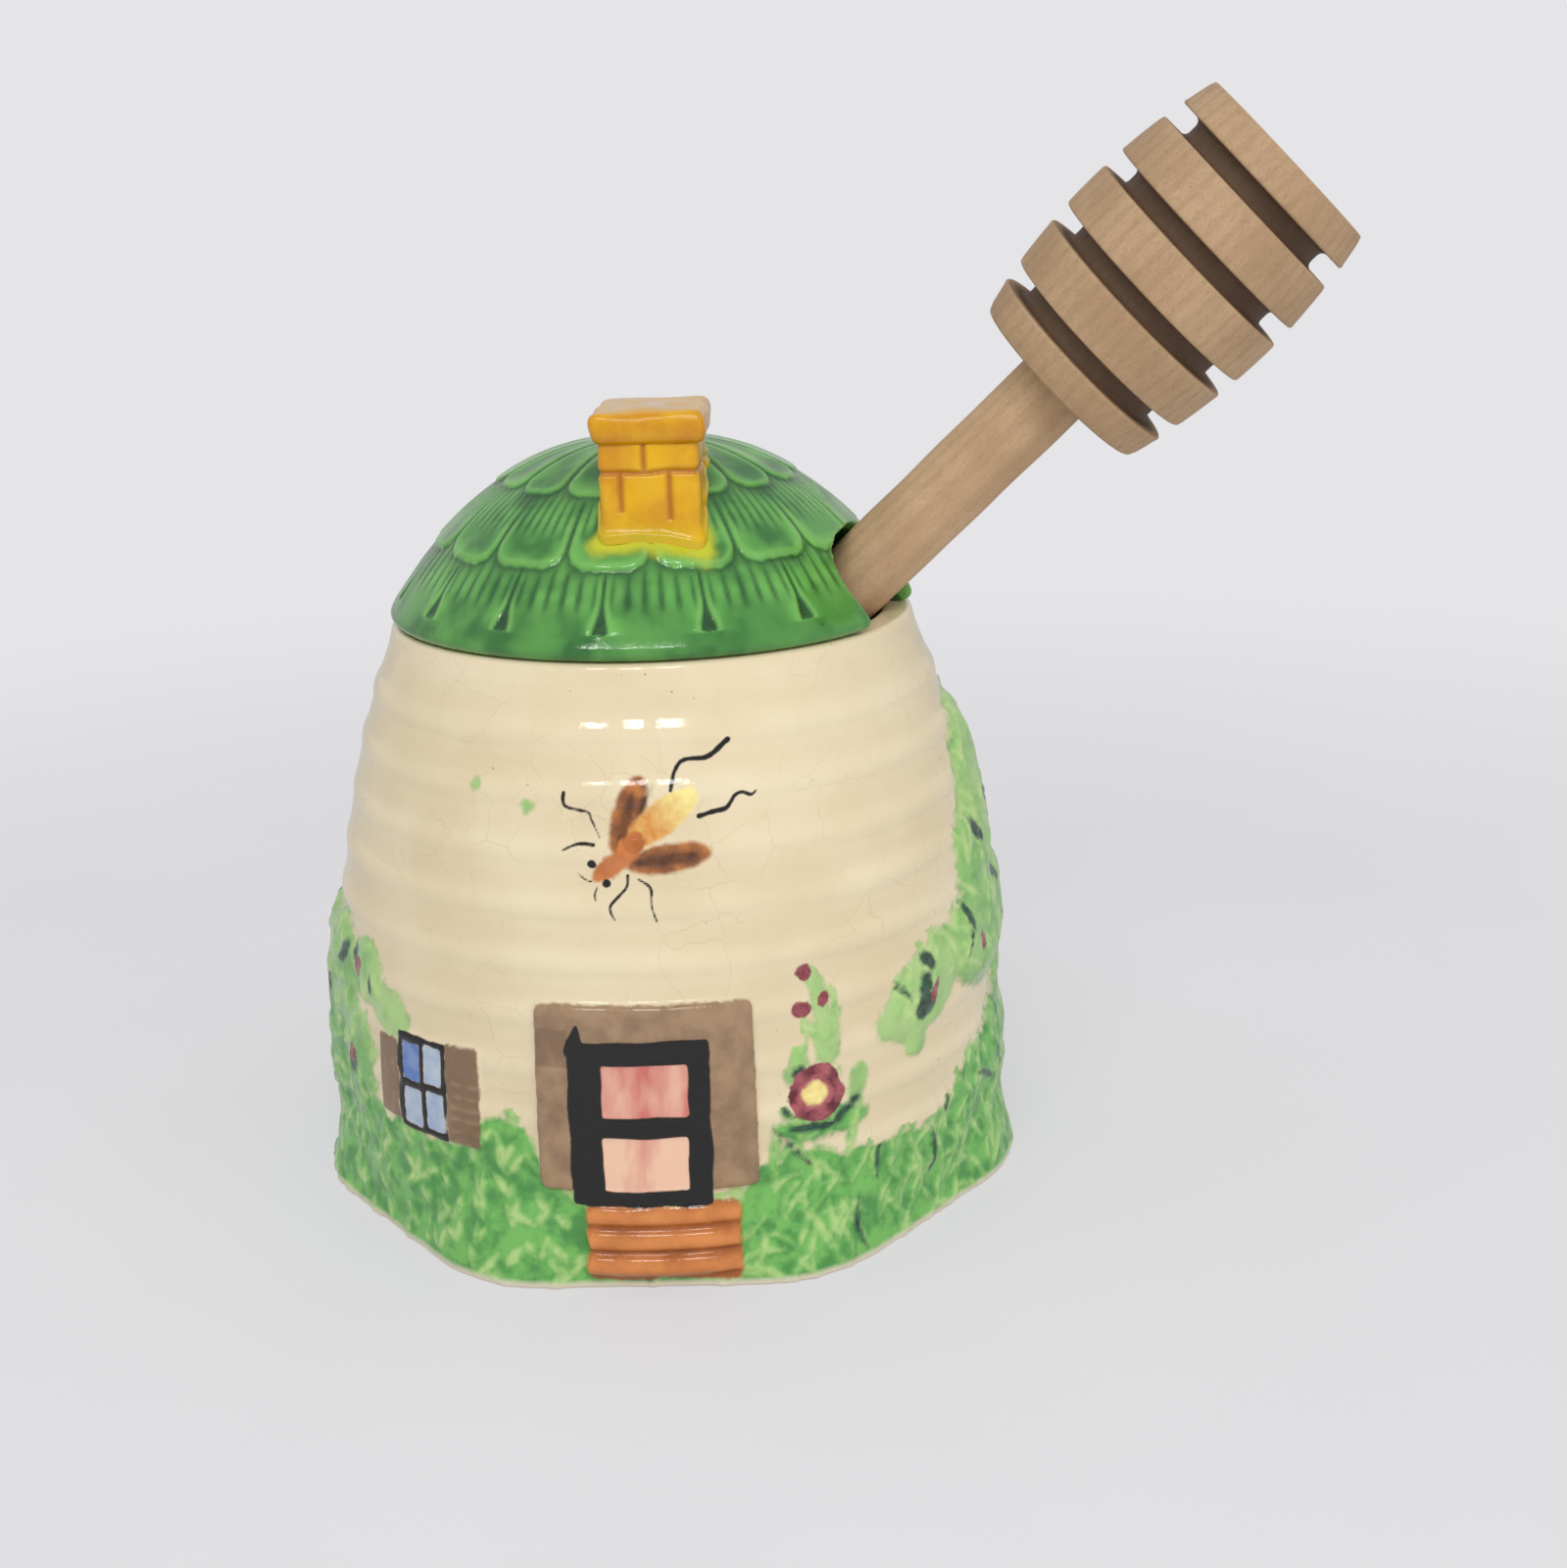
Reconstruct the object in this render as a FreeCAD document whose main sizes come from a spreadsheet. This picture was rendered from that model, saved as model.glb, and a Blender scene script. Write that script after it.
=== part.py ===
import FreeCAD, Part
import os
import re
import Sketcher
from FreeCAD import Vector

# Driving sizes in millimetres, degrees and plain counts
SIZES = {
    # Pot wall: a barrel of stacked coils that closes in towards the neck
    "belly_r": 43.6,
    "neck_r": 34.5,
    "belly_power": 2.8,
    "coil_low": 4.7,
    "coil_pitch": 6.5,
    "coil_count": 10,
    "coil_round": 7.5,
    "rim_rise": 4.5,
    "rim_inset": 0.9,
    "rim_wide": 4.0,
    # Pot inside and foot
    "wall_thick": 5.0,
    "floor_thick": 5.0,
    "floor_round": 7.0,
    "hollow_coil": 4,
    "mouth_depth": 5.0,
    "mouth_round": 1.0,
    "recess_wide": 8.0,
    "recess_deep": 1.2,
    # Grass bank round the foot: a soft polygon that leans in
    "bank_sides": 7,
    "bank_spread": 1.0,
    "bank_corner": 20.0,
    "bank_tall": 14.0,
    "bank_draft": 13.0,
    # Relief on the wall
    "relief_root": 1.5,
    "door_span": 33.7,
    "door_low": 12.8,
    "door_tall": 23.2,
    "door_proud": 0.6,
    "window_turn": -37.9,
    "window_span": 21.3,
    "window_low": 17.0,
    "window_tall": 11.6,
    "window_proud": 0.4,
    "step_turn": 1.9,
    "step_span": 24.0,
    "step_low": 1.9,
    "step_count": 3,
    "step_rise": 3.0,
    "step_out": 2.4,
    "step_back": 0.35,
    "step_round": 2.4,
    "bush_depth": 6.0,
    "left_bush_turn": -86.0,
    "left_bush_low": 2.5,
    "left_bush_high": 35.5,
    "left_bush_wide": 17.0,
    "left_bush_proud": 1.6,
    "right_bush_turn": 94.0,
    "right_bush_low": 15.5,
    "right_bush_high": 42.5,
    "right_bush_wide": 13.0,
    "right_bush_proud": 2.0,
    "climber_turn": 96.0,
    "climber_low": 33.5,
    "climber_high": 57.5,
    "climber_wide": 10.0,
    "climber_proud": 1.8,
    "clump_turn": 49.5,
    "clump_low": 24.0,
    "clump_high": 36.0,
    "clump_wide": 5.5,
    "clump_proud": 0.6,
    # Roof lid: three courses of tiles over a flange that drops into the mouth
    "lid_turn": 4.5,
    "eave_over": 0.4,
    "lid_rise": 22.6,
    "roof_power": 2.5,
    "eave_rise": 1.5,
    "lip_in": 0.8,
    "lip_fullness": 1.15,
    "lid_thick": 4.0,
    "dome_spring": 5.5,
    "flange_clear": 0.9,
    "flange_thick": 3.1,
    "flange_deep": 4.0,
    "tile_count": 16,
    "tile_step": 0.5,
    "low_course": 6.5,
    "middle_course": 8.2,
    "top_joint_r": 7.5,
    "joint_deep": 0.8,
    "joint_over": 0.4,
    "joint_half": 0.4,
    "cusp_deep": 2.4,
    "cusp_half": 2.2,
    "cusp_past": 0.7,
    "cusp_round": 2.8,
    "eave_joint_half": 0.75,
    "eave_joint_end": 0.5,
    # Notch in the eaves where the dipper comes out
    "notch_turn": -16.0,
    "notch_front": 13.0,
    "notch_beside": 4.6,
    "notch_round": 7.0,
    "notch_clear": 2.0,
    "notch_fall": 22.0,
    # Chimney knob on the front slope of the roof, square to the door and a little to its right
    "chimney_side": 2.05,
    "chimney_front": 24.4,
    "chimney_deep": 15.8,
    "chimney_wide": 11.8,
    "chimney_root": 2.2,
    "chimney_clear": 2.15,
    "cap_over": 0.8,
    "cap_tall": 3.9,
    "cap_round": 1.3,
    "cap_under_round": 0.6,
    "brick_tall": 3.3,
    "brick_joint": 0.55,
    "brick_joint_deep": 0.4,
    "upper_joint_at": -0.6,
    "lower_joint_left": -3.4,
    "lower_joint_right": 2.3,
    "lower_joint_tall": 5.0,
    # Dipper: a dowel glued into a turned, grooved head
    "dipper_lean": 44.0,
    "handle_r": 4.9,
    "handle_show": 36.3,
    "socket_deep": 14.0,
    "glue_gap": 0.1,
    "head_end_r": 12.3,
    "head_bulge": 2.3,
    "head_under_round": 0.6,
    "disc_count": 5,
    "end_disc": 4.1,
    "disc_thick": 6.0,
    "groove_wide": 2.5,
    "groove_deep": 2.6,
    # Fits and cuts
    "seat_clear": 0.3,
    "cut_past": 2.0,
}

# Length below which two places count as the same
FINE = 1e-6

# Mark of an arc whose centre lies on the upright axis
AXIS = None

# A tile course swells outwards about a centre on the axis
CROWN = (AXIS, 1)

# Sizes that follow from the driving ones
POT_TOP = "(coil_low + coil_count * coil_pitch + rim_rise)"
CREST = "(coil_round - sqrt(coil_round ^ 2 - (coil_pitch / 2) ^ 2))"
RIM_R = "(neck_r - rim_inset)"
MOUTH_R = "(neck_r - rim_inset - rim_wide)"
BORE_R = "(belly_r - wall_thick)"
FLANGE_R = f"({MOUTH_R} - flange_clear)"
LID_R = f"({RIM_R} + eave_over)"
EAVE_R = f"({LID_R} - lip_in)"
MIDDLE_R = f"({LID_R} - low_course)"
TOP_R = f"({MIDDLE_R} - middle_course)"
CHIMNEY_BACK = "(chimney_front - chimney_deep)"
SEAT_LIFT = "(mouth_round + seat_clear + handle_r)"
SEAT_U = f"({MOUTH_R} + mouth_round - {SEAT_LIFT} * sin(dipper_lean))"
SEAT_Z = f"({POT_TOP} - mouth_round + {SEAT_LIFT} * cos(dipper_lean))"
TAIL_U = f"(seat_clear - {BORE_R} + handle_r * sin(dipper_lean))"
HANDLE_IN = f"(({SEAT_U} - {TAIL_U}) / cos(dipper_lean))"
HEAD_LONG = "(2 * end_disc + (disc_count - 2) * disc_thick + (disc_count - 1) * groove_wide)"

doc = FreeCAD.newDocument("honey_pot")
sheet = doc.addObject("Spreadsheet::Sheet", "Sizes")
for row, (size_name, size) in enumerate(SIZES.items(), start=1):
    sheet.set(f"A{row}", size_name)
    sheet.set(f"B{row}", str(size))
    sheet.setAlias(f"B{row}", size_name)
doc.recompute()


def bound(formula):
    """Write a formula of size names as an expression that reads the sheet."""
    return re.sub(r"[a-z]\w*", lambda word: f"Sizes.{word[0]}" if word[0] in SIZES else word[0], formula)


def value(formula):
    """Work out a formula of size names."""
    return float(sheet.evalExpression(bound(formula)))


def count(size_name):
    """Read a whole number from the sheet."""
    return round(value(size_name))


def origin(body, role):
    """Find one of a body's own origin planes or axes."""
    return next(item for item in body.Origin.OriginFeatures if item.Role == role)


def place(feature, prop, spot, turn=("0", "0", "0")):
    """Bind a placement to formulas for its spot and its yaw, pitch and roll."""
    spot_text = "; ".join(bound(part) for part in spot)
    turn_text = "; ".join(bound(part) for part in turn)
    feature.setExpression(prop, f"placement(vector({spot_text}); rotation({turn_text}))")


def new_body(label, spot=("0", "0", "0"), turn=("0", "0", "0")):
    """Start a body with its label and its placement."""
    body = doc.addObject("PartDesign::Body", label)
    body.Label = label
    place(body, "Placement", spot, turn)
    return body


def radius_about_axis(start, end):
    """Radius of the arc from start to end whose centre lies on the upright axis."""
    rise = (start.x ** 2 + start.y ** 2 - end.x ** 2 - end.y ** 2) / (2 * (start.y - end.y))
    return Vector(start.x, start.y - rise, 0).Length


def arc_through(start, end, radius, side):
    """An arc from start to end that bulges to the right (side 1) or the left (side -1) of the way."""
    chord = end - start
    half = chord.Length / 2
    sagitta = radius - (radius ** 2 - half ** 2) ** 0.5
    right = Vector(chord.y, -chord.x, 0).normalize()
    return Part.Arc(start, (start + end) / 2 + right * sagitta * side, end)


def add_loop(sketch, corners, arcs):
    """Add one closed loop bound to formulas; an arc has a radius or is centred on the upright axis."""
    first = sketch.GeometryCount
    points = [Vector(value(x), value(y), 0) for x, y in corners]
    starts = []
    ends = []
    for step, start in enumerate(points):
        end = points[(step + 1) % len(points)]
        if step in arcs:
            radius, side = arcs[step]
            number = radius_about_axis(start, end) if radius is AXIS else value(radius)
            edge = sketch.addGeometry(arc_through(start, end, number, side), False)
        else:
            edge = sketch.addGeometry(Part.LineSegment(start, end), False)
        reach = [sketch.getPoint(edge, tip).distanceToPoint(start) for tip in (1, 2)]
        flipped = reach[0] > reach[1]
        starts.append(2 if flipped else 1)
        ends.append(1 if flipped else 2)
    for step, (x, y) in enumerate(corners):
        edge = first + step
        before = (step - 1) % len(points)
        tips = (first + before, ends[before], edge, starts[step])
        sketch.addConstraint(Sketcher.Constraint("Coincident", *tips))
        for kind, formula, number in (("DistanceX", x, points[step].x), ("DistanceY", y, points[step].y)):
            row = sketch.addConstraint(Sketcher.Constraint(kind, -1, 1, edge, starts[step], number))
            sketch.setExpression(f"Constraints[{row}]", bound(formula))
    for step, (radius, _) in arcs.items():
        if radius is AXIS:
            # In a sketch, point 3 of an arc is its centre and line -2 is the upright axis
            sketch.addConstraint(Sketcher.Constraint("PointOnObject", first + step, 3, -2))
            continue
        row = sketch.addConstraint(Sketcher.Constraint("Radius", first + step, value(radius)))
        sketch.setExpression(f"Constraints[{row}]", bound(radius))


def draw(body, name, plane, loops, spot=("0", "0", "0"), turn=("0", "0", "0")):
    """Draw closed loops on one of the body's origin planes, moved and turned in that plane's own axes."""
    sketch = body.newObject("Sketcher::SketchObject", name)
    sketch.AttachmentSupport = (origin(body, plane), [""])
    sketch.MapMode = "FlatFace"
    place(sketch, "AttachmentOffset", spot, turn)
    for corners, arcs in loops:
        add_loop(sketch, corners, arcs)
    doc.recompute()
    return sketch


def finish(body, feature, grows):
    """Recompute a new feature and make sure that it added or took away material."""
    before = body.Tip.BaseFeature.Shape.Volume if body.Tip.BaseFeature else 0
    doc.recompute()
    gained = feature.Shape.Volume - before
    if (gained > 0) != grows:
        raise RuntimeError(f"{feature.Name} changed the volume by {gained:.3f}")
    return feature


def revolve(body, kind, name, sketch, angle="360"):
    """Turn a sketch about its own vertical axis, evenly to both sides."""
    feature = body.newObject(f"PartDesign::{kind}", name)
    feature.Profile = sketch
    feature.ReferenceAxis = (sketch, ["V_Axis"])
    feature.Midplane = True
    feature.setExpression("Angle", bound(angle))
    return finish(body, feature, kind == "Revolution")


def extrude(body, kind, name, sketch, length, side="One side", draft="0"):
    """Pad or pocket a sketch by a length."""
    feature = body.newObject(f"PartDesign::{kind}", name)
    feature.Profile = sketch
    feature.SideType = side
    feature.setExpression("Length", bound(length))
    feature.setExpression("TaperAngle", bound(draft))
    return finish(body, feature, kind == "Pad")


def ring_of(body, name, feature, copies):
    """Repeat a feature round the body's upright axis."""
    pattern = body.newObject("PartDesign::PolarPattern", name)
    pattern.Originals = [feature]
    pattern.Axis = (origin(body, "Z_Axis"), [""])
    pattern.Angle = 360
    pattern.setExpression("Occurrences", bound(copies))
    body.Tip = pattern
    doc.recompute()
    return pattern


def rectangle(left, right, low, high):
    """A plain rectangle as a loop."""
    return [(left, low), (right, low), (right, high), (left, high)], {}


def wall_r(height):
    """Radius of the coiled wall, between its coils, at a height."""
    share = f"(({height} - coil_low) / (coil_count * coil_pitch))"
    return f"(belly_r - (belly_r - neck_r) * {share} ^ belly_power)"


def roof_tilt(radius):
    """Fall of the roof at a radius, as an angle."""
    fall = f"((lid_rise - eave_rise) * ({radius} / {LID_R}) ^ roof_power)"
    return f"atan(roof_power * {fall} / {radius})"


def roof_h(radius):
    """Height of the roof above the lid's underside at a radius."""
    return f"(lid_rise - (lid_rise - eave_rise) * ({radius} / {LID_R}) ^ roof_power)"


SHAFT_TOP = f"({roof_h(CHIMNEY_BACK)} + chimney_clear)"


def tucked(radius):
    """Point under a tile course's lower edge, where the course below disappears."""
    tilt = roof_tilt(radius)
    return f"({radius} - tile_step * sin({tilt}))", f"({roof_h(radius)} - tile_step * cos({tilt}))"


def coiled_wall(body):
    """The solid skep: a foot, stacked round coils and a rim."""
    corners = [("0", "0"), ("belly_r", "0")]
    arcs = {}
    for coil in range(count("coil_count") + 1):
        height = f"(coil_low + {coil} * coil_pitch)"
        arcs[len(corners)] = ("coil_round", 1)
        corners.append((wall_r(height), height))
    corners += [(RIM_R, POT_TOP), ("0", POT_TOP)]
    revolve(body, "Revolution", "coils", draw(body, "coil_outline", "XZ_Plane", [(corners, arcs)]))


def grass_bank(body):
    """The bank round the foot, with flats between soft corners."""
    flat = "(belly_r + bank_spread)"
    half = f"(({flat} - bank_corner) * tan(180 / bank_sides))"
    corners = []
    arcs = {}
    for side in range(count("bank_sides")):
        turn = f"({side} * 360 / bank_sides)"
        for end in ("-", "+"):
            x = f"({flat} * sin({turn}) {end} {half} * cos({turn}))"
            y = f"(-{flat} * cos({turn}) {end} {half} * sin({turn}))"
            corners.append((x, y))
        arcs[len(corners) - 1] = ("bank_corner", 1)
    sketch = draw(body, "bank_outline", "XY_Plane", [(corners, arcs)])
    extrude(body, "Pad", "bank", sketch, "bank_tall", draft="-bank_draft")


def wall_panel(body, name, turn, span, low, tall, proud):
    """A low raised panel that follows the wall, such as the door or the window."""
    high = f"({low} + {tall})"
    corners = [
        (f"{wall_r(low)} - relief_root", low),
        (f"{wall_r(low)} + {CREST} + {proud}", low),
        (f"{wall_r(high)} + {CREST} + {proud}", high),
        (f"{wall_r(high)} - relief_root", high),
    ]
    sketch = draw(body, f"{name}_outline", "XZ_Plane", [(corners, {})], turn=("0", f"{turn} - 90", "0"))
    revolve(body, "Revolution", name, sketch, span)


def doorstep(body):
    """Rounded treads below the door, each set back from the one under it."""
    steps = count("step_count")
    corners = [("belly_r - relief_root", "step_low")]
    arcs = {}
    for step in range(steps + 1):
        if step < steps:
            arcs[len(corners)] = ("step_round", 1)
        corners.append((f"belly_r + step_out - {step} * step_back", f"step_low + {step} * step_rise"))
    corners.append(("belly_r - relief_root", f"step_low + {steps} * step_rise"))
    sketch = draw(body, "step_outline", "XZ_Plane", [(corners, arcs)], turn=("0", "step_turn - 90", "0"))
    revolve(body, "Revolution", "doorstep", sketch, "step_span")


def bush(body, name):
    """A swelling of leaves on the wall: part of an ellipsoid sunk into it."""
    turn = f"{name}_turn"
    height = f"(({name}_low + {name}_high) / 2)"
    reach = f"({wall_r(height)} + {CREST} + {name}_proud - bush_depth)"
    lump = body.newObject("PartDesign::AdditiveEllipsoid", name)
    lump.AttachmentSupport = (origin(body, "XY_Plane"), [""])
    lump.MapMode = "FlatFace"
    spot = (f"{reach} * sin({turn})", f"-{reach} * cos({turn})", height)
    place(lump, "AttachmentOffset", spot, (f"{turn} - 90", "0", "0"))
    lump.setExpression("Radius1", bound(f"({name}_high - {name}_low) / 2"))
    lump.setExpression("Radius2", bound("bush_depth"))
    lump.setExpression("Radius3", bound(f"{name}_wide"))
    finish(body, lump, True)


def pot_inside(body):
    """The hollow with its mouth, and the shallow recess under the foot."""
    over = f"({POT_TOP} + cut_past)"
    corners = [
        ("0", "floor_thick"),
        (f"{BORE_R} - floor_round", "floor_thick"),
        (BORE_R, "floor_thick + floor_round"),
    ]
    for coil in range(count("hollow_coil"), count("coil_count"), 2):
        height = f"(coil_low + {coil} * coil_pitch)"
        corners.append((f"{wall_r(height)} - wall_thick", height))
    arcs = {1: ("floor_round", 1), len(corners) + 1: ("mouth_round", -1)}
    corners += [
        (MOUTH_R, f"{POT_TOP} - mouth_depth"),
        (MOUTH_R, f"{POT_TOP} - mouth_round"),
        (f"{MOUTH_R} + mouth_round", POT_TOP),
        (f"{MOUTH_R} + mouth_round", over),
        ("0", over),
    ]
    revolve(body, "Groove", "hollow", draw(body, "hollow_outline", "XZ_Plane", [(corners, arcs)]))
    recess = rectangle("0", "belly_r - recess_wide", "-cut_past", "recess_deep")
    revolve(body, "Groove", "foot_recess", draw(body, "recess_outline", "XZ_Plane", [recess]))


def make_pot():
    """The pot: coiled wall, bank and relief, then the hollow."""
    body = new_body("pot_body")
    coiled_wall(body)
    grass_bank(body)
    for name in ("left_bush", "right_bush", "climber", "clump"):
        bush(body, name)
    wall_panel(body, "door", "0", "door_span", "door_low", "door_tall", "door_proud")
    wall_panel(body, "window", "window_turn", "window_span", "window_low", "window_tall", "window_proud")
    doorstep(body)
    pot_inside(body)
    return body


def roof_line():
    """The three tile courses in outline, from the eaves up to the peak, with each course's swell."""
    corners = [
        (EAVE_R, "0"),
        (EAVE_R, roof_h(EAVE_R)),
        tucked(MIDDLE_R),
        (MIDDLE_R, roof_h(MIDDLE_R)),
        tucked(TOP_R),
        (TOP_R, roof_h(TOP_R)),
        ("0", "lid_rise"),
    ]
    lip = (f"{roof_h(EAVE_R)} / 2 * lip_fullness", 1)
    return corners, {0: lip, 1: CROWN, 3: CROWN, 5: CROWN}


def above(base, line):
    """A loop made of plain corners followed by a line with its arcs."""
    corners, arcs = line
    return base + corners, {len(base) + edge: arc for edge, arc in arcs.items()}


def roof_shell(body):
    """The stepped roof, its rounded eaves, and the flange under it."""
    flange_in = f"({FLANGE_R} - flange_thick)"
    under = [
        ("0", "lid_rise - lid_thick"),
        (flange_in, "dome_spring"),
        (flange_in, "-flange_deep"),
        (FLANGE_R, "-flange_deep"),
        (FLANGE_R, "0"),
    ]
    corners, arcs = above(under, roof_line())
    arcs[0] = (AXIS, -1)
    revolve(body, "Revolution", "roof", draw(body, "roof_outline", "XZ_Plane", [(corners, arcs)]))


def tile_joints(body, name, upper_r, lower_r, phase, corners_at):
    """A ring of shallow joints between the tiles of one course, cut square to the slope."""
    middle = f"(({upper_r} + {lower_r}) / 2)"
    half = f"(({lower_r} - {upper_r}) / 2 / cos({roof_tilt(middle)}))"
    spot = (
        f"({middle} + joint_over * sin({roof_tilt(middle)})) * cos({phase})",
        f"({middle} + joint_over * sin({roof_tilt(middle)})) * sin({phase})",
        f"{roof_h(middle)} + joint_over * cos({roof_tilt(middle)})",
    )
    loop = corners_at(half)
    sketch = draw(body, f"{name}_outline", "XY_Plane", [loop], spot, (phase, roof_tilt(middle), "0"))
    joint = extrude(body, "Pocket", name, sketch, "joint_over + joint_deep")
    ring_of(body, f"{name}_ring", joint, "tile_count")


def cusp_loop(half):
    """A joint that opens into the cusp between two rounded tile ends."""
    corners = [
        (f"-{half}", "-joint_half"),
        (f"{half} - cusp_deep", "-joint_half"),
        (f"{half} + cusp_past", "-cusp_half"),
        (f"{half} + cusp_past", "cusp_half"),
        (f"{half} - cusp_deep", "joint_half"),
        (f"-{half}", "joint_half"),
    ]
    return corners, {1: ("cusp_round", -1), 3: ("cusp_round", -1)}


def eave_loop(half):
    """A joint of the lowest course, wider where the glaze pools at its foot."""
    corners = [
        (f"-{half}", "-joint_half"),
        (half, "-eave_joint_half"),
        (half, "eave_joint_half"),
        (f"-{half}", "joint_half"),
    ]
    return corners, {}


def dipper_notch(body):
    """The arched notch in the eaves, cut along the dipper's own line and wider in front of it than behind."""
    top = "(handle_r + notch_clear)"
    back = "(handle_r + notch_beside)"
    corners = [
        (f"-{top}", "notch_round - notch_front"),
        (f"-{top}", f"{back} - notch_round"),
        (f"notch_round - {top}", back),
        ("notch_fall", back),
        ("notch_fall", "-notch_front"),
        (f"notch_round - {top}", "-notch_front"),
    ]
    arcs = {1: ("notch_round", -1), 5: ("notch_round", -1)}
    spot = (f"{SEAT_U} * cos(notch_turn)", f"{SEAT_U} * sin(notch_turn)", f"{SEAT_Z} - {POT_TOP}")
    turn = ("notch_turn", "90 - dipper_lean", "0")
    sketch = draw(body, "notch_outline", "XY_Plane", [(corners, arcs)], spot, turn)
    extrude(body, "Pocket", "notch", sketch, LID_R, side="Symmetric")


def make_lid():
    """The roof lid, with its tile joints and its notch."""
    body = new_body("lid_roof", ("0", "0", POT_TOP), ("lid_turn", "0", "0"))
    roof_shell(body)
    half_tile = "(180 / tile_count - 90)"
    middle_top = f"({TOP_R} + tile_step)"
    eave_top = f"({MIDDLE_R} + tile_step)"
    eave_end = f"({EAVE_R} - eave_joint_end)"
    tile_joints(body, "top_joint", "top_joint_r", TOP_R, half_tile, cusp_loop)
    tile_joints(body, "middle_joint", middle_top, MIDDLE_R, "(-90)", cusp_loop)
    tile_joints(body, "eave_joint", eave_top, eave_end, half_tile, eave_loop)
    dipper_notch(body)
    return body


def make_chimney():
    """The chimney knob: bricks and a rounded cap, fitted to the tiles that it stands on."""
    body = new_body("chimney_knob", ("0", "0", POT_TOP))
    front, back = "-chimney_front", f"-{CHIMNEY_BACK}"
    half = "(chimney_wide / 2)"
    corners = [
        (front, f"{roof_h('chimney_front')} - chimney_root"),
        (back, f"{roof_h(CHIMNEY_BACK)} - chimney_root"),
        (back, SHAFT_TOP),
        (front, SHAFT_TOP),
    ]
    shaft = draw(body, "shaft_outline", "YZ_Plane", [(corners, {})], ("0", "0", "chimney_side"))
    extrude(body, "Pad", "shaft", shaft, "chimney_wide", side="Symmetric")
    seat = draw(body, "seat_outline", "XZ_Plane", [above([("0", "0")], roof_line())])
    revolve(body, "Groove", "roof_seat", seat)
    brick_joints(body, front, back, half)
    wide = f"({half} + cap_over)"
    cap_loop = rectangle(f"-{wide}", wide, f"{front} - cap_over", f"{back} + cap_over")
    cap_sketch = draw(body, "cap_outline", "XY_Plane", [cap_loop], ("chimney_side", "0", SHAFT_TOP))
    round_cap(body, extrude(body, "Pad", "cap", cap_sketch, "cap_tall"))
    return body


def brick_joints(body, front, back, half):
    """The bed joint round the shaft, and the upright joints in its front."""
    deep = "brick_joint_deep"
    outside = rectangle(
        f"-{half} - cut_past",
        f"{half} + cut_past",
        f"{front} - cut_past",
        f"{back} + cut_past",
    )
    inside = rectangle(f"{deep} - {half}", f"{half} - {deep}", f"{front} + {deep}", f"{back} - {deep}")
    bed = f"({SHAFT_TOP} - brick_tall)"
    band = draw(body, "bed_joint_outline", "XY_Plane", [outside, inside], ("chimney_side", "0", bed))
    extrude(body, "Pocket", "bed_joint", band, "brick_joint")
    uprights = [("upper_joint_at", bed, SHAFT_TOP)]
    for at in ("lower_joint_left", "lower_joint_right"):
        uprights.append((at, f"({bed} - lower_joint_tall)", f"({bed} - brick_joint)"))
    loops = [
        rectangle(f"{at} - brick_joint / 2", f"{at} + brick_joint / 2", low, high)
        for at, low, high in uprights
    ]
    face = draw(body, "upright_outline", "XZ_Plane", loops, ("chimney_side", "0", "chimney_front"))
    extrude(body, "Pocket", "upright_joints", face, deep)


def round_cap(body, cap):
    """Round the cap's top and upright edges, then its lower edge outside the shaft."""
    low = value(SHAFT_TOP)
    shaft_x = value("chimney_wide / 2") + FINE
    middle = value("chimney_side")
    above = [edge for edge in cap.Shape.Edges if edge.BoundBox.ZMax > low + FINE]
    upper = round_edges(body, "cap_edges", cap, above, "cap_round")
    outer = []
    for edge in upper.Shape.Edges:
        box = edge.BoundBox
        level = max(abs(box.ZMin - low), abs(box.ZMax - low)) < FINE
        if level and max(box.XMax - middle, middle - box.XMin) > shaft_x:
            outer.append(edge)
    round_edges(body, "cap_under_edges", upper, outer, "cap_under_round")


def round_edges(body, name, base, edges, radius):
    """Fillet some edges of the last feature."""
    fillet = body.newObject("PartDesign::Fillet", name)
    shape_edges = base.Shape.Edges
    names = []
    for number, edge in enumerate(shape_edges, start=1):
        if any(edge.isSame(wanted) for wanted in edges):
            names.append(f"Edge{number}")
    fillet.Base = (base, names)
    fillet.setExpression("Radius", bound(radius))
    return finish(body, fillet, False)


def along_dipper(distance):
    """A spot on the dipper's axis, counted from where it crosses the mouth's edge."""
    reach = f"({SEAT_U} + {distance} * cos(dipper_lean))"
    turn = "(notch_turn + lid_turn)"
    return f"{reach} * cos({turn})", f"{reach} * sin({turn})", f"{SEAT_Z} + {distance} * sin(dipper_lean)"


DIPPER_TURN = ("notch_turn + lid_turn", "90 - dipper_lean", "0")


def make_handle():
    """The dowel, from its tail against the far wall to the end of its socket."""
    handle = doc.addObject("Part::Cylinder", "dipper_handle")
    handle.Label = "dipper_handle"
    handle.setExpression("Radius", bound("handle_r"))
    handle.setExpression("Height", bound(f"{HANDLE_IN} + handle_show + socket_deep"))
    place(handle, "Placement", along_dipper(f"(-{HANDLE_IN})"), DIPPER_TURN)
    doc.recompute()
    return handle


def head_r(height):
    """Radius of the head's barrel at a height above its underside."""
    return f"(head_end_r + head_bulge * (1 - (2 * {height} / {HEAD_LONG} - 1) ^ 2))"


def disc_ends(disc):
    """Lower and upper height of one disc of the head."""
    last = count("disc_count") - 1
    low = "0" if disc == 0 else f"(end_disc + groove_wide + {disc - 1} * (disc_thick + groove_wide))"
    thick = "end_disc" if disc in (0, last) else "disc_thick"
    return low, f"({low} + {thick})"


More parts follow.
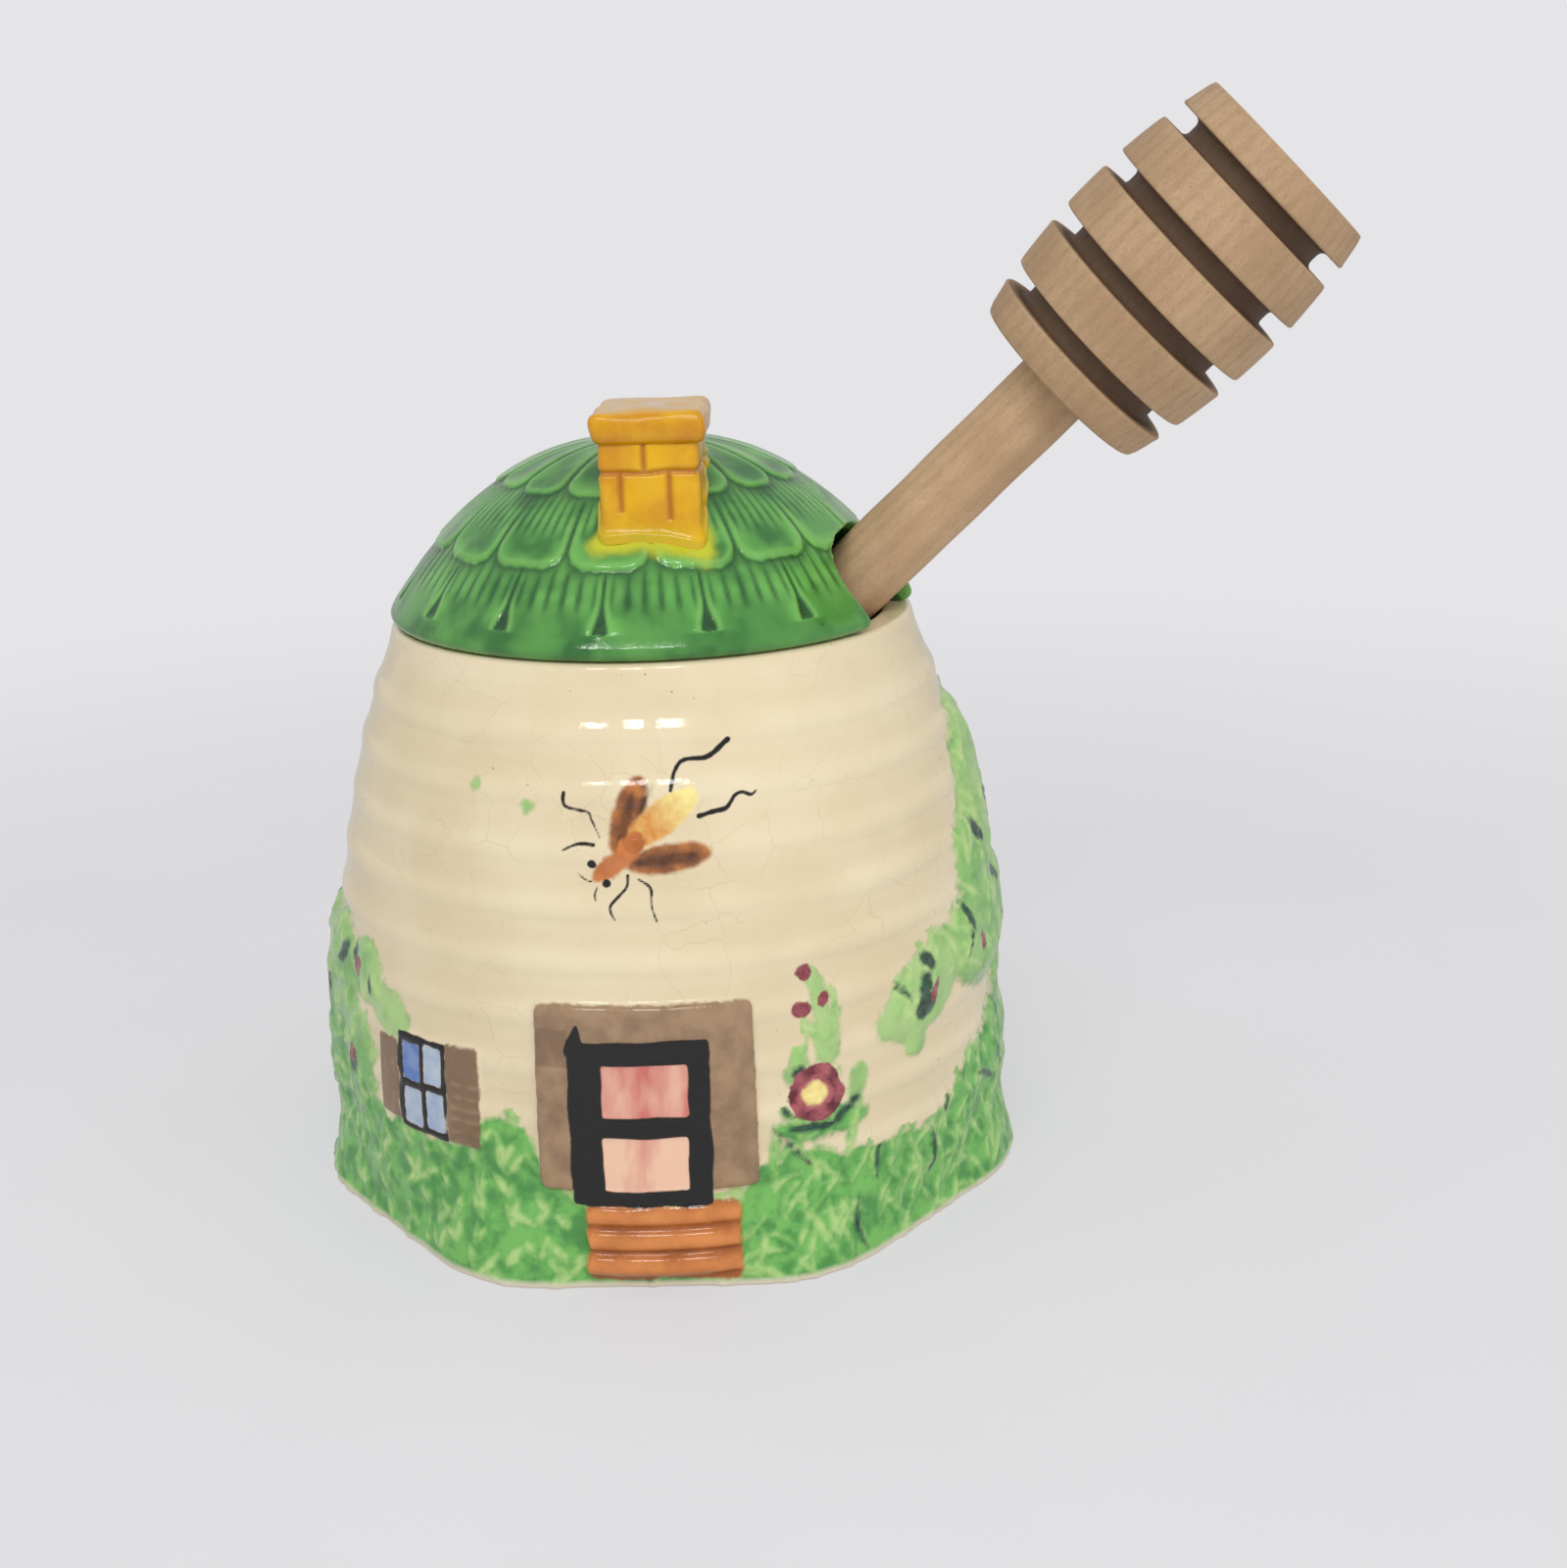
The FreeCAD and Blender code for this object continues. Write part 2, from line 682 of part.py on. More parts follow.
def make_head():
    """The turned head: a barrel, its honey grooves, and the blind socket for the dowel."""
    body = new_body("dipper_head", along_dipper("handle_show"), DIPPER_TURN)
    corners = [("0", "0")]
    for disc in range(count("disc_count")):
        low, high = disc_ends(disc)
        foot = "head_under_round" if disc == 0 else low
        inner = f"{head_r(low)} - {'head_under_round' if disc == 0 else 'groove_deep'}"
        corners += [(inner, low), (head_r(foot), foot), (head_r(high), high)]
        if disc < count("disc_count") - 1:
            corners.append((f"{head_r(f'({high} + groove_wide)')} - groove_deep", high))
    corners.append(("0", HEAD_LONG))
    arcs = {1: ("head_under_round", 1)}
    revolve(body, "Revolution", "discs", draw(body, "disc_outline", "XZ_Plane", [(corners, arcs)]))
    socket = rectangle("0", "handle_r + glue_gap", "-cut_past", "socket_deep")
    revolve(body, "Groove", "socket", draw(body, "socket_outline", "XZ_Plane", [socket]))
    return body


nodes = [make_pot(), make_lid(), make_chimney(), make_handle(), make_head()]
doc.recompute()

for item in doc.Objects:
    if "Invalid" in item.State or "Error" in item.State:
        raise RuntimeError(f"{item.Label} failed: {item.State}")
for node in nodes:
    if node.Shape.isNull() or not node.Shape.isValid() or len(node.Shape.Solids) != 1:
        raise RuntimeError(f"{node.Label} is not one sound solid")

os.makedirs("parts", exist_ok=True)
for node in nodes:
    node.Shape.exportStep(f"parts/{node.Label}.step")
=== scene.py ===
"""The looks of a cottage honey pot: a painted pot, a tiled lid with a chimney, and a wooden dipper."""

from types import SimpleNamespace

import bpy
import numpy as np
from mathutils import Matrix, Vector


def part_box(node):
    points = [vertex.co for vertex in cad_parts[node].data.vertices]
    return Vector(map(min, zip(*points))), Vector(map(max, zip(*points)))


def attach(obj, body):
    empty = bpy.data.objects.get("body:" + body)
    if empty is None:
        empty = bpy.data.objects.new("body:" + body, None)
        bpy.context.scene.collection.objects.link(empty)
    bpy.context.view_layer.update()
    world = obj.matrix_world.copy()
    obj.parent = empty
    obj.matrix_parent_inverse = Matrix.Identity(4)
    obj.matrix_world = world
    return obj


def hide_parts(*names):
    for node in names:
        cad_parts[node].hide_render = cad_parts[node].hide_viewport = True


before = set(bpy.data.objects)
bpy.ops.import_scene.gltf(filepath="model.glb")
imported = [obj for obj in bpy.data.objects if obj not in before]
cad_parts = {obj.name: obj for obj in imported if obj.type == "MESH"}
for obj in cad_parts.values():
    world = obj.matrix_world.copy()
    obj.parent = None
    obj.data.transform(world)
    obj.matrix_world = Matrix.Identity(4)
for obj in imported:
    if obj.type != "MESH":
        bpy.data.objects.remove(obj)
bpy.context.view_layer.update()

# Lengths are in millimetres and angles in degrees. An azimuth runs from -Y, the front, towards +X.
MM = 0.001
RNG = np.random.default_rng(7)

# The pot
POT_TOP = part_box("pot_body")[1].z / MM
BELLY_R, NECK_R = 43.6, 34.5
COIL_LOW, COIL_PITCH, COIL_ARC = 4.7, 6.5, 7.5
COIL_HIGH = COIL_LOW + 10 * COIL_PITCH
WALL_POWER = 2.8
RIM_R, MOUTH_R = 33.6, 29.6
WALL_THICK, FLOOR_THICK, FLOOR_ROUND = 5.0, 5.0, 7.0
FOOT_R, FOOT_DEEP = 35.6, 1.2
BANK_SIDES, BANK_APOTHEM, BANK_CORNER, BANK_DRAFT = 7, 44.6, 20.0, 13.0
CREST = COIL_ARC - np.sqrt(COIL_ARC**2 - (COIL_PITCH / 2) ** 2)

# The lid, its notch and its chimney
LID_Z = POT_TOP
LID_TURN = 4.5
LID_RISE, LID_FALL, LID_R, ROOF_POWER = 22.6, 21.1, 34.0, 2.5
EAVE_R = 33.2
TILES, TILE_STEP = 16, 0.32
TOP_R, MIDDLE_R = 19.3, 27.5
FLANGE_OUT, FLANGE_IN, FLANGE_DEEP = 28.7, 25.6, 4.0
DOME_R, DOME_Z = 31.57, -12.97
LID_VOXEL = 0.26
NOTCH_FRONT, NOTCH_BACK, NOTCH_CORNER, NOTCH_ABOVE = 13.0, 6.2, 7.0, 5.8
CHIMNEY_X, CHIMNEY_FRONT, CHIMNEY_BACK, CHIMNEY_WIDE = 2.05, -24.4, -8.6, 11.8
SHAFT_TOP, CAP_TALL = 24.07, 3.9

# The dipper, leaning on the mouth's rounded edge with its tail against the far wall. LEAN is in radians.
HEADING, LEAN = -11.5, np.radians(44.0)
STICK_R, SEAT_GAP, MOUTH_ROUND = 4.9, 0.3, 1.0
SEAT_LIFT = MOUTH_ROUND + SEAT_GAP + STICK_R
SEAT_U = MOUTH_R + MOUTH_ROUND - SEAT_LIFT * np.sin(LEAN)
SEAT_Z = POT_TOP - MOUTH_ROUND + SEAT_LIFT * np.cos(LEAN)
STICK_TAIL = (SEAT_GAP - BELLY_R + WALL_THICK + STICK_R * np.sin(LEAN) - SEAT_U) / np.cos(LEAN)
HEAD_FROM, HEAD_END_R, HEAD_SWELL = 36.3, 12.3, 2.3
DISCS, GROOVE, GROOVE_DEEP = (4.1, 6.0, 6.0, 6.0, 4.1), 2.5, 3.2
HEAD_LONG = sum(DISCS) + GROOVE * (len(DISCS) - 1)
SOCKET_R, SOCKET_DEEP = STICK_R + 0.1, 14.2
STICK_LONG = HEAD_FROM + 14.0 - STICK_TAIL


# Shape helpers

def smooth(x, low, high):
    """0 below low and 1 above high, with a soft rise between."""
    t = np.clip((x - low) / (high - low), 0.0, 1.0)
    return t * t * (3 - 2 * t)


def soft_max(a, b, reach):
    """The larger of a and b, rounded where they meet."""
    h = np.clip(0.5 + 0.5 * (a - b) / reach, 0.0, 1.0)
    return b + (a - b) * h + reach * h * (1 - h)


def wobble(x, y, size, seed):
    """A smooth uneven field, about -1 to 1, with lumps of the given size."""
    phases = np.random.default_rng(seed).uniform(0, 2 * np.pi, (6, 3))
    total = np.zeros(np.broadcast(x, y).shape)
    for k, (turn, lag, rate) in enumerate(phases):
        pace = 2 * np.pi / size * (0.6 + 0.8 * rate / (2 * np.pi))
        total += np.sin(pace * (x * np.cos(turn) + y * np.sin(turn)) + lag + k)
    return total / 3.5


def round_corner(x, y, corner):
    """The distance outside a rounded corner, from the distances outside its two edges."""
    x, y = x + corner, y + corner
    return np.minimum(np.maximum(x, y), 0) + np.hypot(np.maximum(x, 0), np.maximum(y, 0)) - corner


def polar(az, r, z):
    """Points of the row frame from azimuth, radius and height."""
    a = np.radians(az)
    return np.stack(np.broadcast_arrays(r * np.sin(a), -r * np.cos(a), z), -1)


def add_object(name, data):
    thing = bpy.data.objects.new(name, data)
    bpy.context.scene.collection.objects.link(thing)
    return thing


def mesh_object(name, points, faces):
    """A smooth-shaded object of points in millimetres."""
    mesh = bpy.data.meshes.new(name)
    mesh.from_pydata((np.asarray(points) * MM).tolist(), [], faces)
    mesh.validate()
    mesh.shade_smooth()
    return add_object(name, mesh)


def bake_map(piece, rings, first, last, around):
    """Lays the skin out flat: across by its columns' places, 0 to 1, and up by the length over its rings."""
    steps = np.linalg.norm(np.diff(rings, axis=0), axis=-1).mean(1)
    reach = np.linalg.norm(rings[0] - first, axis=-1).mean()
    close = np.linalg.norm(rings[-1] - last, axis=-1).mean()
    along = np.concatenate([[0], np.cumsum(np.concatenate([[reach], steps, [close]]))])
    along /= along[-1]
    left, right = np.asarray(around), np.append(around[1:], 1.0)
    middle = (left + right) / 2
    low, high = along[1:-2], along[2:-1]

    def corners(u, v):
        return np.stack(np.broadcast_arrays(np.stack(u, -1), v), -1).reshape(-1, 2)

    sides = corners((left, right, right, left), np.stack([low, low, high, high], -1)[:, None])
    start = corners((middle, right, left), (0, along[1], along[1]))
    end = corners((left, right, middle), (along[-2], along[-2], 1))
    layer = piece.data.uv_layers.new(name="OFBake")
    layer.uv.foreach_set("vector", np.concatenate([sides, start, end]).astype(np.float32).ravel())


def ring_mesh(name, rings, first, last, around):
    """A closed skin over rings (rows, columns, 3), with a point at each end, and its bake map."""
    rows, cols = rings.shape[:2]
    i = np.arange(rows - 1)[:, None] * cols
    j = np.arange(cols)
    k = (j + 1) % cols
    quads = np.stack(np.broadcast_arrays(i + j, i + k, i + cols + k, i + cols + j), -1).reshape(-1, 4)
    start, end = rows * cols + 0 * j, rows * cols + 1 + 0 * j
    top = (rows - 1) * cols
    fans = np.concatenate([np.stack([start, k, j], -1), np.stack([top + j, top + k, end], -1)])
    piece = mesh_object(name, np.vstack([rings.reshape(-1, 3), first, last]), quads.tolist() + fans.tolist())
    bake_map(piece, rings, first, last, around)
    return piece


def points_of(piece):
    """The piece's vertices, in millimetres."""
    flat = np.zeros(len(piece.data.vertices) * 3, np.float32)
    piece.data.vertices.foreach_get("co", flat)
    return flat.reshape(-1, 3) / MM


def mark(piece, name, values):
    """Keeps one number or vector per vertex on the piece, for its material to read."""
    values = np.asarray(values, np.float32)
    vector = values.ndim == 2
    layer = piece.data.attributes.new(name, "FLOAT_VECTOR" if vector else "FLOAT", "POINT")
    layer.data.foreach_set("vector" if vector else "value", values.ravel())


def mark_rings(piece, name, values, first=0.0, last=0.0):
    """Keeps one number for each point of a skin's rings, and for its two end points."""
    mark(piece, name, np.append(np.ravel(values), [first, last]))


# The pot's form

def wall_r(z):
    """The wall's radius in the valleys between its coils."""
    up = np.clip((z - COIL_LOW) / (COIL_HIGH - COIL_LOW), 0.0, 1.1)
    return BELLY_R - (BELLY_R - NECK_R) * up**WALL_POWER


def coil_out(az, z):
    """How far a coil stands out of its valleys: a low arc with a glaze-filled valley."""
    z = z + 0.18 * wobble(az * 0.7, z, 60, 3)
    part = 2 * np.mod((z - COIL_LOW) / COIL_PITCH, 1.0) - 1
    half = COIL_PITCH / 2
    arc = np.sqrt(COIL_ARC**2 - (half * part) ** 2) - np.sqrt(COIL_ARC**2 - half**2)
    wave = CREST * (0.5 + 0.5 * np.cos(np.pi * part))
    height = 0.45 * arc + 0.55 * wave
    return height * (1 + 0.12 * wobble(az * 0.7, z, 35, 4)) * smooth(z, COIL_LOW - 3, COIL_LOW)


def bank_r(az, z):
    """The bank at the foot: a seven-sided block with rounded corners and sloping sides."""
    half = np.pi / BANK_SIDES
    turn = np.abs(np.mod(np.radians(az) + half, 2 * half) - half)
    inner = BANK_APOTHEM - BANK_CORNER
    flat = BANK_APOTHEM / np.cos(turn)
    centre = inner / np.cos(half)
    off = half - turn
    corner = centre * np.cos(off) + np.sqrt(BANK_CORNER**2 - (centre * np.sin(off)) ** 2)
    r = np.where(BANK_APOTHEM * np.tan(turn) <= inner * np.tan(half), flat, corner)
    return r - np.tan(np.radians(BANK_DRAFT)) * z


# The pot's decoration, as azimuth and height on the wall

# A distance that counts as far outside a painted shape
FAR_OUT = 9.0

# The grass's upper edge: azimuth and height
GRASS_LINE = (
    (-180, 15), (-165, 19), (-150, 15.5), (-135, 18), (-118, 14), (-104, 19), (-90, 22), (-70, 21), (-56, 17),
    (-48, 16), (-34, 15.6), (-29, 17), (-27.5, 20), (-24, 21), (-20, 20), (-18, 16.5), (-15, 13), (-10.5, 11),
    (0, 10), (13, 11), (17, 14.3), (22, 15.6), (26.5, 16.1), (31, 14.6), (36, 13.7), (45, 13.4), (52, 12.6),
    (57, 14.8), (62, 17), (68, 19), (78, 18), (88, 20), (100, 17), (115, 14), (130, 18), (150, 15), (165, 18),
    (180, 15),
)

# Leaves: their spacing and scatter, the share of dark ones, and where long arching ones start
LEAF_STEP_AZ, LEAF_STEP_Z, LEAF_TOP = 5.4, 3.1, 60
LEAF_SHIFT_AZ, LEAF_SHIFT_Z = 2.4, 1.3
DARK_SHARE, ARCHING_AZ = 0.05, 8

# Each lobe of foliage: azimuth, height, half length, half width, tilt and how far it stands out
LOBES = (
    (-86, 21.5, 17, 13, 90, 2.0), (-72, 30, 9, 8, 60, 1.3), (-57, 33.4, 4.6, 4.2, 0, 0.7),
    (-49.5, 30.6, 5.0, 2.9, -18, 0.6), (-64, 22, 7.5, 7, 0, 0.9), (-108, 27, 9, 7, 70, 1.1),
    (-24, 17, 4.5, 3.6, 0, 0.4), (84, 51, 12, 7.4, 75, 1.9), (77, 43.5, 8.5, 6.5, 0, 1.7),
    (79, 35, 15.5, 8.3, 10, 2.1), (52, 31.4, 9.2, 4.6, 28, 0.9), (41.5, 28.8, 2.2, 1.8, 40, 0.5),
    (47.6, 25.2, 2.2, 1.9, 60, 0.5), (84, 15, 13, 8, 0, 1.6), (66, 14.5, 7, 5, 30, 0.7),
    (92, 26, 7.5, 7, 90, 1.3), (112, 27, 12, 7, 75, 1.2), (160, 22, 10, 8, 80, 1.1),
    (-150, 20, 9, 7, 90, 1.0), (28.4, 33.4, 5.0, 1.05, 98, 0.2), (29.3, 29.2, 3.2, 1.8, 85, 0.3),
    (23.8, 26, 2.0, 1.2, 60, 0.2), (34.6, 22.6, 2.6, 1.3, 70, 0.25), (28, 18.6, 6.5, 2.0, 0, 0.2),
)

# Marks and buds on the foliage: azimuth, height, half length, half width and tilt
DARK_MARKS = (
    (51.3, 34.7, 1.5, 0.9, -45), (49.6, 31.3, 2.4, 1.2, 72), (49.6, 29.4, 2.2, 1.5, 20),
    (64.5, 37.3, 1.9, 0.7, 100), (63.2, 34.4, 1.8, 0.3, 70), (74, 46.5, 2.1, 1.0, -50),
    (80, 39.5, 2.0, 1.0, -60), (55.3, 14.6, 1.3, 0.6, 75), (22.4, 21.4, 1.5, 0.9, -40),
    (32.2, 19.9, 2.2, 0.6, 40), (26.6, 18.5, 3.4, 0.55, -6), (24.0, 25.9, 0.9, 0.7, 30),
    (-66, 34, 2.2, 1.0, 50), (-61, 35.2, 1.3, 0.7, 80), (-62, 19.8, 1.6, 0.8, 60), (-76, 27, 2.2, 1.0, 60),
)
BUDS = (
    (26.0, 37.8, 1.05, 0.95, 0), (28.9, 34.2, 0.95, 0.7, 50), (25.0, 33.4, 1.3, 1.0, -10),
    (67.4, 33.6, 1.5, 0.6, 100), (52.2, 30.8, 1.6, 0.65, 65), (-59.3, 33.4, 1.4, 1.1, 80),
    (-61.6, 21.5, 1.5, 0.95, 70),
)
FLOWER_AZ, FLOWER_Z, FLOWER_R, FLOWER_HEART = 27.0, 22.7, 3.8, 1.45

# The door, the window and the steps. A panel is its left and right azimuth and its low and high edge.
DOOR = (-17.2, 17.0, 12.6, 36.0)
DOOR_OVERLAP = (-17.2, -11.6, 28.4, 33.2)
DOOR_FRAME = (-12.0, 9.8, 10.9, 31.7)
FINIAL = ((-10.7, 30.6), (-10.5, 32.1), (-10.2, 33.6))
PANES = ((-6.8, 6.5, 22.2, 28.7), (-6.9, 6.1, 12.8, 19.6))
PANE_TONES = (0.66, 0.0)
SHUTTERS = ((-51.0, -45.0, 16.6, 27.2), (-34.2, -27.4, 16.2, 28.8))
SASH = (-45.2, -33.9, 16.0, 28.6)
SASH_PANES = (
    (-44.0, -39.9, 22.6, 27.5), (-38.8, -35.0, 22.9, 27.9),
    (-43.8, -39.6, 16.8, 21.6), (-38.4, -34.6, 17.0, 22.0),
)
LIGHT_TONES = (0.95, 0.3, 0.3, 0.3)
LOUVRE = 1.5
STEPS, STEP_AZ, STEP_SPAN, STEP_LOW, STEP_TALL, STEP_OUT, STEP_BACK = 3, 1.9, 24.0, 1.9, 3.1, 2.4, 0.35

# The insect's parts, as ovals like the marks
BEE_BODY = ((-3.6, 52.4, 3.2, 1.25, 38), (-1.0, 54.3, 1.9, 1.3, 40))
BEE_TAIL = (4.4, 57.4, 4.9, 1.9, 36)
BEE_WINGS = ((-1.4, 57.6, 4.7, 1.8, 73), (5.2, 52.8, 4.9, 1.7, 7))
BEE_STREAKS = ((-1.9, 56.8, 3.7, 0.8, 76), (0.4, 57.6, 3.0, 0.35, 68), (4.6, 52.7, 3.9, 0.85, 6))
BEE_EYES = ((-7.5, 52.3, 0.52, 0.5, 0), (-5.1, 50.1, 0.52, 0.5, 0))

# Each leg or feeler: its path, and its half width where it starts and where it ends
BEE_LEGS = (
    (((6.0, 60.4), (6.9, 62.4), (8.6, 63.6), (12.4, 63.7), (14.3, 64.3), (16.8, 65.5)), 0.2, 0.33),
    (
        ((10.6, 57.3), (13.0, 57.7), (15.4, 58.0), (17.0, 59.3), (18.4, 59.6), (19.9, 59.2), (20.9, 59.6)),
        0.3, 0.17,
    ),
    (((-12.6, 60.2), (-12.3, 58.7), (-8.4, 58.1), (-7.6, 57.2), (-6.2, 55.3)), 0.22, 0.12),
    (((-12.4, 53.8), (-9.8, 54.6), (-7.2, 54.5)), 0.12, 0.24),
    (((-1.6, 51.0), (-1.9, 49.6), (-4.3, 47.8), (-4.4, 46.9), (-3.8, 46.0)), 0.18, 0.14),
    (((0.2, 50.5), (2.0, 49.5), (2.1, 47.7), (2.8, 45.7)), 0.17, 0.13),
    (((-9.9, 51.2), (-8.6, 50.5), (-7.6, 50.3)), 0.1, 0.13),
    (((-6.6, 49.7), (-7.0, 48.9), (-6.9, 48.2)), 0.13, 0.1),
)
GREEN_DOTS = ((-29.8, 60.3, 0.55, 0.495, 0), (-19.3, 58.4, 0.7, 0.63, 0))


def across(az, z, centre):
    """The distance along the wall, in millimetres, from the centre azimuth."""
    return np.radians(np.mod(az - centre + 180, 360) - 180) * wall_r(z)


def oval(az, z, place):
    """The distance outside a tilted oval, negative inside."""
    at, height, long, wide, tilt = place
    x, y = across(az, z, at), z - height
    c, s = np.cos(np.radians(tilt)), np.sin(np.radians(tilt))
    p, q = (x * c + y * s), (-x * s + y * c)
    near = np.hypot(p / long, q / wide)
    slope = np.hypot(p / long**2, q / wide**2)
    return near * (near - 1) / np.maximum(slope, 1e-6)


def panel(az, z, edges, corner=0.4):
    """The distance outside an upright panel with rounded corners, negative inside."""
    left, right, low, high = edges
    x = across(az, z, (left + right) / 2)
    half_x = np.radians(right - left) / 2 * wall_r(z)
    return round_corner(np.abs(x) - half_x, np.abs(z - (low + high) / 2) - (high - low) / 2, corner)


def segment(x, y, a, b):
    """(distance, place along, 0 to 1) from points to the straight line a to b."""
    run = np.subtract(b, a)
    t = np.clip(((x - a[0]) * run[0] + (y - a[1]) * run[1]) / (run @ run), 0.0, 1.0)
    return np.hypot(x - a[0] - t * run[0], y - a[1] - t * run[1]), t


def curve(path, parts=5):
    """A smooth line through a path's points."""
    knots = np.array([path[0], *path, path[-1]], float)
    points = []
    for a, b, c, d in zip(knots, knots[1:], knots[2:], knots[3:]):
        for t in np.arange(parts) / parts:
            square, cube = 2 * a - 5 * b + 4 * c - d, 3 * b - a - 3 * c + d
            points.append(0.5 * (2 * b + (c - a) * t + square * t**2 + cube * t**3))
    return points + [knots[-1]]


def stroke(az, z, path, start, end):
    """The distance outside a brush stroke along a path, with its half widths where it starts and ends."""
    at = path[0][0]
    knots = [(float(across(a, h, at)), h) for a, h in curve(path)]
    x = across(az, z, at)
    best = np.full(np.broadcast(az, z).shape, 99.0)
    for n, (a, b) in enumerate(zip(knots, knots[1:])):
        d, t = segment(x, z, a, b)
        part = (n + t) / (len(knots) - 1)
        best = np.minimum(best, d - (start + (end - start) * part))
    return best


def nearest(fields):
    """The joined shape of several distance fields."""
    return np.minimum.reduce(list(fields))


def ovals(az, z, places):
    """The joined shape of several ovals."""
    return nearest(oval(az, z, place) for place in places)


def leaf(x, y, arching, lean, long, bow, width):
    """(distance, relief) of one bowed leaf that grows up from the origin."""
    length = 3.6 + 4.2 * long if arching else 2.0 + 2.2 * long
    heading = np.radians(90 + 120 * (lean - 0.5))
    turn = np.radians((150 if arching else 60) * (bow - 0.5)) / 3
    half = (0.3 if arching else 0.38) + 0.16 * width
    d = np.full(x.shape, FAR_OUT)
    base = np.zeros(2)
    for n in range(4):
        way = heading + turn * n
        tip = base + length / 4 * np.array([np.cos(way), np.sin(way)])
        gap, t = segment(x, y, base, tip)
        d = np.minimum(d, gap - half * (1 - 0.85 * ((n + t) / 2 - 1) ** 2))
        base = tip
    return d, 0.3 * np.exp(-((np.maximum(d + half, 0) / 0.5) ** 2))


def leaf_strokes(az, z, foliage):
    """Leaves brushed and pressed into the foliage: their distance field, their relief and a few dark ones."""
    blade = np.full(foliage.shape, FAR_OUT)
    dark = np.full(foliage.shape, FAR_OUT)
    relief = np.zeros(foliage.shape)
    columns, heights = az[0], z[:, 0]
    for base_az in np.arange(-180, 180, LEAF_STEP_AZ):
        for base_z in np.arange(0.6, LEAF_TOP, LEAF_STEP_Z):
            at = base_az + RNG.uniform(-LEAF_SHIFT_AZ, LEAF_SHIFT_AZ)
            low = base_z + RNG.uniform(-LEAF_SHIFT_Z, LEAF_SHIFT_Z)
            draws = RNG.uniform(0, 1, (2, 5))
            col = int(np.searchsorted(columns, np.clip(at, -179.9, 179.9))) % len(columns)
            row = min(int(np.searchsorted(heights, low)), len(heights) - 1)
            if foliage[row, col] > -0.4:
                continue
            area = np.ix_((heights > low - 6) & (heights < low + 9), np.abs(across(columns, low, at)) < 9)
            x, y = across(az[area], z[area], at), z[area] - low
            for *shape, tint in draws:
                d, crest = leaf(x, y, at > ARCHING_AZ, *shape)
                relief[area] = np.maximum(relief[area], crest)
                field = dark if tint < DARK_SHARE else blade
                field[area] = np.minimum(field[area], d)
    return blade, relief, dark


def uneven(az, z, size, seed):
    """A wobble laid on the wall."""
    return wobble(az * 0.7, z, size, seed)


def planted_wall(az, z):
    """(radius, fields) of the coiled wall with its bank, its bushes and their leaves."""
    grass = np.interp(az, *np.array(GRASS_LINE, float).T)
    lobes = [oval(az, z, lobe[:5]) for lobe in LOBES]
    turf = z - grass - 0.6 * uneven(az, z, 5, 11)
    foliage = np.minimum(turf, nearest(lobes) + 0.3 * uneven(az, z, 4, 12))
    blade, relief, dark = leaf_strokes(az, z, foliage)
    foliage = np.minimum(foliage, np.where(foliage < 1.6, blade - 0.15, FAR_OUT))

    r = wall_r(z) + coil_out(az, z) + 0.08 * uneven(az, z, 22, 5)
    r = soft_max(r, bank_r(az, z), 0.9)
    for lobe, field in zip(LOBES, lobes):
        swell = lobe[5] * np.sqrt(np.clip(-field / min(lobe[3], 5.0), 0, 1))
        r = soft_max(r, wall_r(z) + 0.6 * CREST + swell - 0.6 * (swell <= 0), 0.7)
    in_leaf = smooth(-foliage, -0.2, 0.8)
    r = r + in_leaf * (relief + 0.12 * uneven(az, z, 6, 9) - 0.05)
    return r, SimpleNamespace(grass=grass, foliage=foliage, blade=blade, dark=dark)


def front_fields(az, z):
    """The fields of the door, the window and the steps."""
    each_pane = [panel(az, z, pane, 0.3) for pane in PANES]
    each_light = [panel(az, z, light, 0.2) for light in SASH_PANES]
    shutters = nearest(panel(az, z, shutter, 0.5) for shutter in SHUTTERS)
    slats = np.cos(2 * np.pi * z / LOUVRE)
    low, high = STEP_LOW - 0.6, STEP_LOW + STEPS * STEP_TALL - 0.1
    steps = panel(az, z, (STEP_AZ - STEP_SPAN / 2, STEP_AZ + STEP_SPAN / 2, low, high), 1.2)
    tread = np.clip(np.floor((z - STEP_LOW) / STEP_TALL), 0, STEPS - 1)
    return SimpleNamespace(
        door=panel(az, z, DOOR, 1.0),
        overlap=panel(az, z, DOOR_OVERLAP) + 0.2 * uneven(az, z, 5, 20),
        frame=panel(az, z, DOOR_FRAME) + 0.18 * uneven(az, z, 7, 21),
        finial=stroke(az, z, FINIAL, 1.3, 0.12),
        each_pane=each_pane,
        panes=nearest(each_pane) + 0.12 * uneven(az, z, 5, 22),
        shutters=shutters + 0.12 * uneven(az, z, 6, 26),
        slats=slats * smooth(across(az, z, SASH[1]), 0.4, 1.2) * smooth(26.5 - z, 0, 3),
        sash=panel(az, z, SASH, 0.2) + 0.12 * uneven(az, z, 5, 23),
        each_light=each_light,
        lights=nearest(each_light) + 0.09 * uneven(az, z, 4, 24),
        steps=steps + 0.2 * uneven(az, z, 6, 25),
        tread=tread,
        tread_edge=np.abs(2 * np.clip((z - STEP_LOW) / STEP_TALL - tread, 0, 1) - 1),
    )


